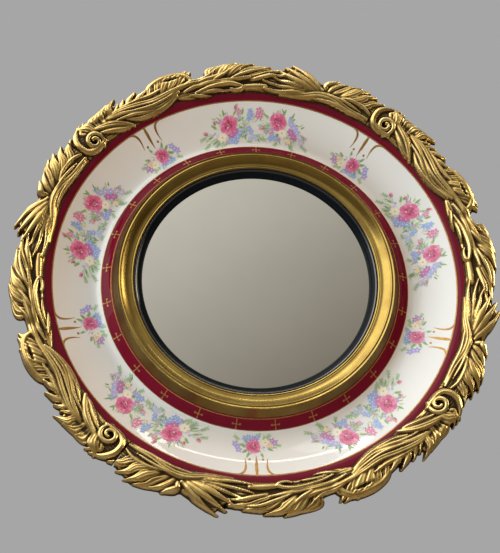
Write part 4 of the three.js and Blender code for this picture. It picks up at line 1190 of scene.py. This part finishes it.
def relief():
    """Height field of one casting over arc length and radius."""
    first, last = on_arc(-JOINT_LEAD), on_arc(90 - JOINT_LEAD)
    arc = np.linspace(first, last, int((last - first) / GRID_STEP))
    radius = np.arange(259, 317.5, GRID_STEP)
    x, y = np.meshgrid(arc, radius, indexing="ij")
    outer, inner = (
        np.interp(np.degrees(arc / VOLUTE_RADIUS), *np.array(line).T)[:, None]
        for line in (OUTER_EDGE, INNER_EDGE)
    )
    edge = np.minimum(y - inner, outer - 1.2 - y)
    flow = np.sin(y * 1.9 + 0.055 * x + 1.2 * np.sin(0.05 * x))
    level = swollen(x, y)
    height = np.maximum(np.minimum(level - 2.4 + 0.4 * flow, 2.0 + 2.4 * edge), -3.0)
    eye = np.hypot(x - on_arc(0.1), y - VOLUTE_RADIUS)
    height = np.where(eye < EYE_RADIUS, np.minimum(height, EYE_DEPTH + 0.2 * eye), height)
    for k, (base, path, *changes) in enumerate(STRANDS):
        style = {**base, **dict(*changes)}
        if style["roof"]:
            start, middle, end = style["lifts"]
            style["lifts"] = (start, middle + 1.2 * math.sin(11 * k + 1), end + 0.6 * math.sin(5 * k))
            style["widths"] = [w * (1 + 0.26 * math.sin(7.3 * k)) for w in style["widths"]]
        for shift in QUARTERS:
            lay(height, level, arc, radius, [(u + shift, r) for u, r in path], style)
    lay(height, level, arc, radius, volute_path(), SPIRAL)
    # the hollow under the rolled edge of the round leaf
    hollow = np.hypot((x - on_arc(27.4)) / 13, (y - 298.4) / 2.6)
    height -= 4.2 * np.clip(1 - hollow**2, 0, 1) * (height > 2)
    height = blur(height, 0.5)
    room = HIGHEST - SHOULDER
    over = np.clip(height - SHOULDER, 0, None)
    return arc, radius, np.minimum(height, SHOULDER) + room * (1 - np.exp(-over / room))


def recesses(height):
    """How deep each place lies among its neighbours, from 0 on a ridge to 1. It darkens the castings'
    colour in the recesses as patina and painted shade, and lightens it on the ridges as a painted
    highlight.
    """
    solid_part = np.clip(height, 0, None)
    near = np.clip((blur(solid_part, 1.5) - solid_part) / 0.6, -1, 1.4)
    wide = np.clip((blur(solid_part, 4.5) - solid_part) / 2.6, 0, 1)
    return np.clip(0.4 + 0.38 * near + 0.65 * wide, 0, 1)


def edge_places(edges, count):
    """The different edges among the given ones, and for each given edge its number."""
    keys, which = np.unique(edges.min(1) * count + edges.max(1), return_inverse=True)
    return keys // count, keys % count, which


def clipped_solid(places, height, triangles):
    """A closed solid of the part of a height field above zero: its top, its wall and its back.

    It comes with the place that each point comes from, and which points are places of the top."""
    inside = (height > 0)[triangles]
    number_in = inside.sum(1)
    count = len(height)

    def rolled(corners_in, odd):
        """The corners of the triangles with so many inside, from the odd one on."""
        group, first = triangles[number_in == corners_in], odd[number_in == corners_in]
        turn = np.argmax(first, 1)
        return [group[np.arange(len(group)), (turn + k) % 3] for k in range(3)]

    one_a, one_b, one_c = rolled(1, inside)
    two_a, two_b, two_c = rolled(2, ~inside)
    pairs = ((one_a, one_b), (one_c, one_a), (two_a, two_b), (two_c, two_a))
    edges = np.concatenate([np.stack(pair, 1) for pair in pairs])
    low, high, which = edge_places(edges, count)
    share = (height[low] / (height[low] - height[high]))[:, None]
    border = places[low] * (1 - share) + places[high] * share
    split = np.split(which + count, np.cumsum([len(one_a), len(one_a), len(two_a)]))
    tops = np.concatenate([
        triangles[number_in == 3],
        np.stack([one_a, split[0], split[1]], 1),
        np.stack([two_b, two_c, split[3]], 1),
        np.stack([two_b, split[3], split[2]], 1),
    ])
    points = np.concatenate([places, border])
    points[:count, 2] = height
    back_of = np.arange(len(points))
    back_of[:count] += len(points)
    everything = np.concatenate([points, places])
    faces = np.concatenate([tops, back_of[tops][:, ::-1]])
    used, renamed = np.unique(faces, return_inverse=True)
    sources = np.where(used < len(points), used, used - len(points))
    return everything[used], renamed.reshape(-1, 3), sources, used < count


def casting_mesh(name, start, span, field):
    """One border casting, from its volute at start, on its arc of the border."""
    arc, radius, height, recess = (values.copy() for values in field)
    stretch = span / 90
    gap = SEGMENT_GAP / 2 / stretch
    # each joint gets a steep wall, half the gap away from its middle
    for end, inner, way in ((0, 1, 1), (-1, -2, -1)):
        arc[inner] += way * gap
        arc[end] = arc[inner] - way * 0.02
        height[end] = -np.abs(height[inner]) - 0.01
        recess[end] = recess[inner]
    x, y = np.meshgrid(arc, radius, indexing="ij")
    places = np.stack([x, y, np.zeros_like(x)], -1).reshape(-1, 3)
    index = np.arange(height.size).reshape(height.shape)
    corners = index[:-1, :-1], index[1:, :-1], index[1:, 1:], index[:-1, 1:]
    a, b, c, d = (part.ravel() for part in corners)
    triangles = np.concatenate([np.stack([a, b, c], 1), np.stack([a, c, d], 1)])
    points, faces, sources, top = clipped_solid(places, height.ravel(), triangles)
    angle = np.radians(start) - points[:, 0] / VOLUTE_RADIUS * stretch
    reach = points[:, 1] - (1 - TIP_SHARE) * np.clip(points[:, 1] - TIP_CIRCLE, 0, None)
    spots = np.stack([reach * np.cos(angle), -(BORDER_BACK + points[:, 2]), reach * np.sin(angle)], 1)
    mesh = bpy.data.meshes.new(name)
    mesh.vertices.add(len(spots))
    mesh.vertices.foreach_set("co", (MM * spots).ravel())
    mesh.loops.add(3 * len(faces))
    mesh.loops.foreach_set("vertex_index", faces.ravel())
    mesh.polygons.add(len(faces))
    mesh.polygons.foreach_set("loop_start", np.arange(0, 3 * len(faces), 3))
    mesh.update(calc_edges=True)
    mesh.validate()
    shaded(mesh, 68)
    # share for the colour: patina and painted shade in the recesses, rubbed gold and a painted highlight
    # on the ridges; 0.5 on the back
    wear_and_shade = np.full(len(spots), 0.5)
    wear_and_shade[top] = recess.ravel()[sources[top]]
    mesh.attributes.new("recess", "FLOAT", "POINT").data.foreach_set("value", wear_and_shade)
    return mesh


class MIRROR_OT_border(bpy.types.Operator):
    """Four gilt castings of acanthus leaves, each with its volute"""

    bl_idname = "mirror.border"
    bl_label = "Acanthus border"

    def execute(self, context):
        arc, radius, height = relief()
        field = (arc, radius, height, recesses(height))
        for i, start in enumerate(VOLUTE_ANGLES):
            name, span = f"gilt_acanthus_{i + 1}", (start - VOLUTE_ANGLES[i - 1]) % 360
            mesh = casting_mesh(name, start, span, field)
            place_piece(name, mesh, "gilt_casting", nodes=[f"acanthus_segment_{i + 1}"])
        return {"FINISHED"}


# ---------------------------------------------------------------- glass, slip and bezel
def glass_face(sizes, edge):
    """Depth of a face of the glass over the radius, from its depth at the edge."""
    radius, rise = mm(sizes.glass_radius), mm(sizes.glass_rise)
    bend = (radius**2 + rise**2) / (2 * rise)
    return lambda r: edge + math.sqrt(bend**2 - r**2) - bend + rise


class MIRROR_OT_glass(bpy.types.Operator):
    """Shallow convex mirror glass"""

    bl_idname = "mirror.glass"
    bl_label = "Mirror glass"

    def execute(self, context):
        sizes = context.scene.mirror_sizes
        radius = mm(sizes.glass_radius)
        front, back = glass_face(sizes, GLASS_FRONT), glass_face(sizes, GLASS_BACK)
        rings = [radius * math.sqrt(k / 40) for k in range(40)] + [radius - 0.4]
        profile = [(r, front(r)) for r in rings]
        profile += [(radius, GLASS_FRONT - 0.3), (radius, GLASS_BACK + 0.3)]
        profile += [(r, back(r)) for r in reversed(rings[::3])]
        mesh = solid("convex_glass", turned(profile, 192, closed=False), 30)
        place_piece("convex_glass", mesh, "mirror_glass", nodes=["mirror_glass"])
        return {"FINISHED"}


class MIRROR_OT_slip(bpy.types.Operator):
    """Black lacquered slip between the glass and the bezel"""

    bl_idname = "mirror.slip"
    bl_label = "Black slip"

    def execute(self, context):
        sizes = context.scene.mirror_sizes
        inner, outer = mm(sizes.slip_inner_radius), mm(sizes.slip_radius)
        seat = glass_face(sizes, GLASS_FRONT)(inner) + SEAT_GAP
        slope = (
            (0, seat + 0.9), (1.2, seat + 2.3), (4.5, 38.9), (7.4, 41.3), (8.6, 41.9), (9.6, 41.2),
            (10.5, 41.0), (12, SLIP_FRONT),
        )
        top = [(inner + r, depth) for r, depth in through(slope, 36)]
        back = [(outer, SLIP_FRONT), (outer, SLIP_BACK)]
        profile = [(mm(sizes.glass_radius), SLIP_BACK), (inner, seat), *top, *back]
        mesh = solid("lacquered_slip", turned(profile, 256), 40)
        place_piece("lacquered_slip", mesh, "black_lacquer", nodes=["slip_ring"])
        return {"FINISHED"}


class MIRROR_OT_bezel(bpy.types.Operator):
    """Spun brass bezel with its four studs"""

    bl_idname = "mirror.bezel"
    bl_label = "Brass bezel"

    def execute(self, context):
        sizes = context.scene.mirror_sizes
        radii = (sizes.bezel_lip_radius, sizes.bezel_rim_radius, sizes.bezel_foot_radius)
        lip, rim, foot = map(mm, radii)
        edge = ((0, 42.5), (0, 43.5), (0.4, 44.1), (1.3, 44.5), (2.2, 44.35), (2.7, 43.9))
        cove = through([(3.4, 44.2), (6, 44.6), (9, 45.8), (12, 47.8), (14.8, 50.0)], 22)
        bead = through([(15.1, 50.0), (16.2, 50.75), (17.4, 50.7), (18.2, 50.3)], 9)
        skirt = [(rim, 51.2), (rim + 0.7, 49.4), (rim + 2.3, 45.4), (rim + 4.3, 41.2)]
        skirt = through([*skirt, (foot, FOOT_DEPTH)], 18)
        profile = [(lip + r, depth) for r, depth in (*edge, *cove, *bead)]
        profile += [(rim - 1.3, 50.45), (rim - 0.4, 51.05), *map(tuple, skirt)]
        profile += [(foot - 2.2, FOOT_DEPTH), (foot - 5.4, 43.55)]
        profile += [(rim - 2.2, 48.1), (lip + 16, 47.9), (lip + 9, 42.5)]
        stud = [(0, 46.3), (2, 46.3), (2, 4.1), (1.6, 3.7), (0, 3.7)]
        parts = [turned(profile), *four_turned(stud, 20, foot - STUD_INSET)]
        mesh = solid("spun_bezel", joined(parts), 24)
        place_piece("spun_bezel", mesh, "bezel_brass", nodes=["brass_bezel"])
        return {"FINISHED"}


# ---------------------------------------------------------------- wood, board, pads
BASE_PROFILE = (
    (266, 2), (266, 38.5), (284, 38.5), (284, 51.7), (272.8, 51.7), (272.8, 42.5), (262, 42.5),
    (253, 39.0), (243, 33.6), (233, 28.6), (221, 22.8), (208.2, 19.1), (199, 20.7), (190, 25.0),
    (185.5, 28.2), (176.4, 28.2), (176.4, 40), (161.3, 40), (161.3, 34.4), (153.3, 34.4),
    (153.3, 14.6), (162.1, 14.6), (162.1, 10), (244, 10), (244, 2),
)


class MIRROR_OT_base(bpy.types.Operator):
    """Turned wooden ring that carries everything, with its wall pads"""

    bl_idname = "mirror.base"
    bl_label = "Wooden base ring"

    def execute(self, context):
        mesh = solid("turned_base", turned(rounded(BASE_PROFILE, 1.2), 256), 32)
        place_piece("turned_base", mesh, "base_wood", nodes=["wooden_base_ring"])
        pad = [(0, 0), (7.2, 0), (7.8, 0.25), (8, 0.8), (8, 1.2), (7.7, 1.6), (7.3, 1.7), (0, 1.7)]
        mesh = solid("felt_pads", joined(four_turned(pad, 40, PAD_CIRCLE, 45)), 40)
        place_piece("felt_pads", mesh, "felt", nodes=[f"wall_pad_{k}" for k in range(1, 5)])
        return {"FINISHED"}


class MIRROR_OT_backing(bpy.types.Operator):
    """Backboard, card, spacer, cushions and nuts"""

    bl_idname = "mirror.backing"
    bl_label = "Backing"

    def execute(self, context):
        board = [(0, 10.3), (160.6, 10.3), (161.3, 10.9), (161.3, 13.7), (160.6, 14.3), (0, 14.3)]
        mesh = solid("round_backboard", turned(board, 192, closed=False), 30)
        place_piece("round_backboard", mesh, "plywood", nodes=["backboard"])
        dress_node("backing_card", "grey_card")
        dress_node("glass_spacer_ring", "plywood")
        for side in ("inner", "outer"):
            dress_node(f"{side}_cushion_ring", "felt")
        for k in range(1, 5):
            dress_node(f"bezel_nut_{k}", "screw_steel")
        return {"FINISHED"}


def dress_node(name, slot):
    """Gives a node of the frame its finish."""
    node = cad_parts[name]
    if not node.material_slots:
        raise RuntimeError(f"{name} has no material slot")
    for place in node.material_slots:
        place.material = finish(slot)


# ---------------------------------------------------------------- screws
THREAD_PITCH = 1.3


def slotted_screw(name, shank, length, head, height):
    """A round-headed wood screw with a cut slot; its head points to +Y from the plane y = 0."""
    dome = [(head * math.cos(a), -height * math.sin(a)) for a in np.linspace(0, math.pi / 2, 8)]
    dome[-1] = (0, -height)
    thread = []
    for k in range(int((length - shank) / THREAD_PITCH)):
        depth = 1.2 + k * THREAD_PITCH
        thread += [(shank, depth), (shank * 0.78, depth + 0.5)]
    profile = [*reversed(dome), (shank, 0.02), *thread, (shank * 0.8, length - shank), (0, length)]
    body = into_scene(name, solid(name, turned(profile, 28, closed=False), 40))
    shape = bmesh.new()
    matrix = Matrix.Diagonal((MM * 2.4 * head, MM * height, MM * 0.9, 1))
    bmesh.ops.create_cube(shape, size=1, matrix=Matrix.Translation((0, MM * height, 0)) @ matrix)
    cutter = into_scene(name + "_cutter", bpy.data.meshes.new(name + "_cutter"))
    shape.to_mesh(cutter.data)
    shape.free()
    slot = body.modifiers.new("slot", "BOOLEAN")
    slot.object = cutter
    slot.solver = "EXACT"
    mesh = evaluated_mesh(body, name)
    bpy.data.objects.remove(cutter)
    bpy.data.objects.remove(body)
    return shaded(mesh, 40)


def screws_at(name, nodes, shank, head, height, seed):
    """Copies of one screw where the frame has them, each turned by a seeded amount, in one mesh."""
    spots = []
    for node in nodes:
        low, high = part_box(node)
        spots.append(((low.x + high.x) / 2, high.y - MM * height, (low.z + high.z) / 2))
    low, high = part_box(nodes[0])
    screw = slotted_screw(name, shank, mm(high.y - low.y) - height, head, height)
    places = bpy.data.meshes.new(name + "_places")
    places.from_pydata(spots, [], [])
    copied = into_scene(name + "_copied", screw)

    def copies(n, given):
        source = n.add("GeometryNodeObjectInfo", {"Object": given["Copied"]}, "Geometry")
        points = n.add("GeometryNodeMeshToPoints", [given["Geometry"]])
        chance = {3: TURN, "Seed": given["Seed"]}
        angle = n.add("FunctionNodeRandomValue", chance, 1, data_type="FLOAT")
        return instances(n, points, source, angle)

    inputs = {"Copied": ("Object", copied), "Seed": ("Int", seed)}
    mesh = grown(name, places, "screw_steel", inputs, copies)
    bpy.data.objects.remove(copied)
    place_piece(name, shaded(mesh, 40), "screw_steel", nodes=nodes)


class MIRROR_OT_screws(bpy.types.Operator):
    """Slotted screws of the border, the turn buttons and the hangers"""

    bl_idname = "mirror.screws"
    bl_label = "Screws"

    def execute(self, context):
        hangers = [f"hanger_screw_{side}_{k}" for side in ("left", "right") for k in (1, 2)]
        screws_at("border_screws", [f"border_screw_{k}" for k in range(1, 9)], 2, 3.8, 2.6, 3)
        screws_at("button_screws", [f"turn_button_screw_{k}" for k in range(1, 5)], 1.6, 3.3, 2, 5)
        screws_at("hanger_screws", hangers, 1.6, 3.3, 2, 8)
        return {"FINISHED"}


# ---------------------------------------------------------------- turn buttons and hangers
RING_WIRE, RING_DEPTH = 1.75, 6.45  # radius of the wire, depth of its middle


def plate(name, loops, back, front, bevel):
    """A flat pressing with rounded edges, in the plane of the wall: its outline, then its bores."""
    shape = bmesh.new()
    edges = []
    for loop in loops:
        corners = [shape.verts.new((MM * x, -MM * back, MM * z)) for x, z in loop]
        edges += [shape.edges.new((corners[i - 1], corners[i])) for i in range(len(corners))]
    filled = bmesh.ops.triangle_fill(shape, edges=edges, use_beauty=True)
    flat = [item for item in filled["geom"] if isinstance(item, bmesh.types.BMFace)]
    extruded = bmesh.ops.extrude_face_region(shape, geom=flat)
    moved = [item for item in extruded["geom"] if isinstance(item, bmesh.types.BMVert)]
    bmesh.ops.translate(shape, verts=moved, vec=(0, -MM * (front - back), 0))
    bmesh.ops.recalc_face_normals(shape, faces=shape.faces)
    sharp = [e for e in shape.edges if len(e.link_faces) == 2 and e.calc_face_angle() > 1.2]
    bmesh.ops.bevel(shape, geom=sharp, offset=MM * bevel, segments=2, profile=0.5, affect="EDGES")
    bmesh.ops.recalc_face_normals(shape, faces=shape.faces)
    mesh = bpy.data.meshes.new(name)
    shape.to_mesh(mesh)
    shape.free()
    return shaded(mesh, 40)


class MIRROR_OT_buttons(bpy.types.Operator):
    """Four turn buttons that hold the backboard"""

    bl_idname = "mirror.buttons"
    bl_label = "Turn buttons"

    def execute(self, context):
        tip = [polar(5, a, (19, 0)) for a in np.linspace(-TURN / 4, TURN / 4, 14)]
        outline = [(-3.5, -5), *tip, (-3.5, 5), (-5.5, 3), (-5.5, -3)]
        for k in range(4):
            outwards_angle = math.radians(45 + 90 * k)
            pivot = polar(BUTTON_CIRCLE, outwards_angle)
            inwards = outwards_angle + TURN / 2
            moved = [polar(z, inwards + TURN / 4, polar(x, inwards, pivot)) for x, z in outline]
            bore = [polar(1.9, TURN * i / 20, pivot) for i in range(20)]
            name = f"brass_button_{k + 1}"
            mesh = plate(name, [moved, bore], 8.1, 9.7, 0.3)
            ride = dict(body=f"button_{k + 1}", nodes=[f"turn_button_{k + 1}"])
            place_piece(name, mesh, "hardware_brass", **ride)
        return {"FINISHED"}


class MIRROR_OT_hangers(bpy.types.Operator):
    """Strap hangers and the rings that turn in them"""

    bl_idname = "mirror.hangers"
    bl_label = "Hangers"

    def execute(self, context):
        corner = [polar(3.5, a, (7.5, -3.5)) for a in np.linspace(TURN / 4 - 0.2, 0, 6)]
        bow = [polar(11, -a, (0, -7)) for a in np.linspace(0.12, TURN / 2 - 0.12, 24)]
        other = [(-x, z) for x, z in reversed(corner)]
        path = [(-7.5, 0), (7.5, 0), *corner, *bow, *other]
        for side in ("left", "right"):
            low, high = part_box(f"hanging_ring_{side}")
            x, z = mm((low.x + high.x) / 2), mm(high.z) - RING_WIRE
            mesh = wire_ring([(x + px, z + pz) for px, pz in path], RING_DEPTH, RING_WIRE)
            ride = dict(body=f"{side}_ring", nodes=[f"hanging_ring_{side}"])
            place_piece(f"wire_ring_{side}", mesh, "hardware_brass", **ride)
            dress_node(f"hanger_strap_{side}", "hardware_brass")
        return {"FINISHED"}


def wire_ring(path, depth, wire, sides=14):
    """A closed round wire along a flat path."""
    line = np.array(path)
    ahead = np.roll(line, -1, 0) - np.roll(line, 1, 0)
    ahead /= np.linalg.norm(ahead, axis=1)[:, None]
    points, faces = [], []
    for i, ((x, z), (dx, dz)) in enumerate(zip(line, ahead)):
        here, there = i * sides, (i + 1) % len(line) * sides
        for k in range(sides):
            out, rise = polar(wire, TURN * k / sides)
            points.append((x - dz * out, -(depth + rise), z + dx * out))
            n = (k + 1) % sides
            faces.append([here + k, there + k, there + n, here + n])
    return solid("wire_ring", (points, faces), 60)


# ---------------------------------------------------------------- stage
def grey_to_camera(n, seen_by_light, kind, settings):
    """A shader that the camera sees as the plain background and all else sees as given."""
    flat = n.add(kind, [(settings.background,) * 3])
    path = n.add("ShaderNodeLightPath", out="Is Camera Ray")
    return n.add("ShaderNodeMixShader", [path, seen_by_light, flat])


def soft_world(settings):
    """A plain grey to the camera; a soft room with a bright upper left to everything else."""
    world = bpy.data.worlds.new("studio")
    world.use_nodes = True
    n = Nodes(world.node_tree)
    way = n.add("ShaderNodeTexCoord", out="Generated")
    dot_inputs = [way, (-0.5, -0.3, 0.81)]
    towards = n.add("ShaderNodeVectorMath", dot_inputs, "Value", operation="DOT_PRODUCT")
    share = n.math("POWER", n.remap(towards, -0.15, 0.9), 1.6)
    room = n.add("ShaderNodeBackground", [n.mix(share, (0.085, 0.055, 0.025), (0.98, 0.99, 0.97))])
    n.add("ShaderNodeOutputWorld", [grey_to_camera(n, room, "ShaderNodeBackground", settings)])
    bpy.context.scene.world = world


def pale_floor(settings):
    """A floor that throws light up and shows the camera only the background."""
    corners = [(x, y, settings.floor_level) for x, y in ((-14, -14), (14, -14), (14, 14), (-14, 14))]
    mesh = bpy.data.meshes.new("studio_floor")
    mesh.from_pydata(corners, [], [(0, 1, 2, 3)])
    material = bpy.data.materials.new("pale_floor")
    material.use_nodes = True
    n = Nodes(material.node_tree)
    paint = {"Base Color": (0.22, 0.19, 0.15), "Roughness": 0.8}
    shader = n.add("ShaderNodeBsdfPrincipled", paint)
    mixed = grey_to_camera(n, shader, "ShaderNodeEmission", settings)
    n.add("ShaderNodeOutputMaterial", [mixed])
    mesh.materials.append(material)
    floor = into_scene("studio_floor", mesh)
    floor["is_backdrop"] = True


LAMPS = (
    # name, place, size, power, tint, and the rays that don't meet it
    ("window_light", (-1.5, -0.95, 1.4), (2.9, 2.9), "key_power", (1.0, 0.99, 0.97), "camera"),
    ("warm_light", (1.75, -0.45, 0.4), (2.0, 2.0), "warm_power", (1.0, 0.50, 0.16), "glossy"),
    ("rear_light", (0.9, 1.7, 1.0), (1.4, 1.4), "rear_power", (1.0, 0.98, 0.95), "glossy"),
    ("side_glint", (1.95, 0.0, 0.75), (1.2, 1.2), "glint_power", (1.0, 0.93, 0.70), "diffuse"),
    ("low_fill", (-1.1, -0.6, -1.15), (1.4, 1.4), "fill_power", (0.90, 0.96, 1.0), "glossy"),
    ("strip_light", (0.10, -0.95, 2.0), (2.6, 0.07), "strip_power", (1.0, 0.98, 0.94), "camera"),
)


def area_lamp(name, place, size, power, tint, unseen):
    """A lamp that shines on the middle of the mirror and that no camera sees."""
    data = bpy.data.lights.new(name, "AREA")
    data.shape = "RECTANGLE"
    data.size, data.size_y = size
    data.energy, data.color = power, tint
    lamp = into_scene(name, data)
    lamp.location = place
    lamp.rotation_euler = (-Vector(place)).to_track_quat("-Z", "Y").to_euler()
    lamp.visible_camera = False
    setattr(lamp, "visible_" + unseen, False)


PHOTO_WIDTH, FOCAL_LENGTH = 500, 1200  # in pixels
CAMERA_SIDE, CAMERA_RISE = math.radians(-4.5), math.radians(-23.2)
AIM, SHIFT = (0, -0.048, 0), (-7.1, -1.0)  # front of the porcelain; shift of the picture in pixels


def view_camera(settings):
    """A camera below the mirror and a little to its left."""
    data = bpy.data.cameras.new("view")
    data.sensor_fit = "HORIZONTAL"
    data.sensor_width = 36
    data.lens = FOCAL_LENGTH / PHOTO_WIDTH * data.sensor_width
    data.shift_x, data.shift_y = (pixels / PHOTO_WIDTH for pixels in SHIFT)
    across, front = polar(math.cos(CAMERA_RISE), CAMERA_SIDE)[::-1]
    way = Vector((across, -front, math.sin(CAMERA_RISE)))
    camera = into_scene("view", data)
    camera.location = Vector(AIM) + settings.camera_distance * way
    camera.rotation_euler = (-way).to_track_quat("-Z", "Y").to_euler()
    bpy.context.scene.camera = camera


class MIRROR_OT_stage(bpy.types.Operator):
    """Floor, light, background and camera"""

    bl_idname = "mirror.stage"
    bl_label = "Stage"

    def execute(self, context):
        settings = context.scene.mirror_stage
        context.scene.view_settings.view_transform = "Standard"
        soft_world(settings)
        pale_floor(settings)
        for name, place, size, power, tint, unseen in LAMPS:
            area_lamp(name, place, size, getattr(settings, power), tint, unseen)
        view_camera(settings)
        return {"FINISHED"}


# ---------------------------------------------------------------- panel and registration
PIECES = (
    MIRROR_OT_porcelain, MIRROR_OT_gilding, MIRROR_OT_bouquets, MIRROR_OT_border, MIRROR_OT_glass,
    MIRROR_OT_slip, MIRROR_OT_bezel, MIRROR_OT_base, MIRROR_OT_backing, MIRROR_OT_screws,
    MIRROR_OT_buttons, MIRROR_OT_hangers, MIRROR_OT_stage,
)
SETTINGS = {
    "mirror_sizes": MirrorSizes,
    "mirror_counts": MirrorCounts,
    "mirror_colours": MirrorColours,
    "mirror_stage": StageSettings,
}


class VIEW3D_PT_mirror(bpy.types.Panel):
    """Sizes, colours and pieces of the mirror"""

    bl_idname = "VIEW3D_PT_mirror"
    bl_label = "Girandole mirror"
    bl_space_type = "VIEW_3D"
    bl_region_type = "UI"
    bl_category = "Mirror"

    def draw(self, context):
        for group in SETTINGS:
            settings = getattr(context.scene, group)
            for name in settings.__annotations__:
                self.layout.prop(settings, name)
        for piece in PIECES:
            self.layout.operator(piece.bl_idname)


def register():
    for each in (*SETTINGS.values(), *PIECES, VIEW3D_PT_mirror):
        bpy.utils.register_class(each)
    for name, group in SETTINGS.items():
        setattr(bpy.types.Scene, name, PointerProperty(type=group))


def unregister():
    for name in SETTINGS:
        delattr(bpy.types.Scene, name)
    for each in reversed((*SETTINGS.values(), *PIECES, VIEW3D_PT_mirror)):
        bpy.utils.unregister_class(each)


def main():
    register()
    for piece in PIECES:
        group, name = piece.bl_idname.split(".")
        getattr(getattr(bpy.ops, group), name)()
    bounds = {"cad": CAD_BOUNDS, "visual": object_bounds()}
    {name: [[float(v) for v in corner] for corner in box] for name, box in bounds.items()}


if __name__ == "__main__":
    main()
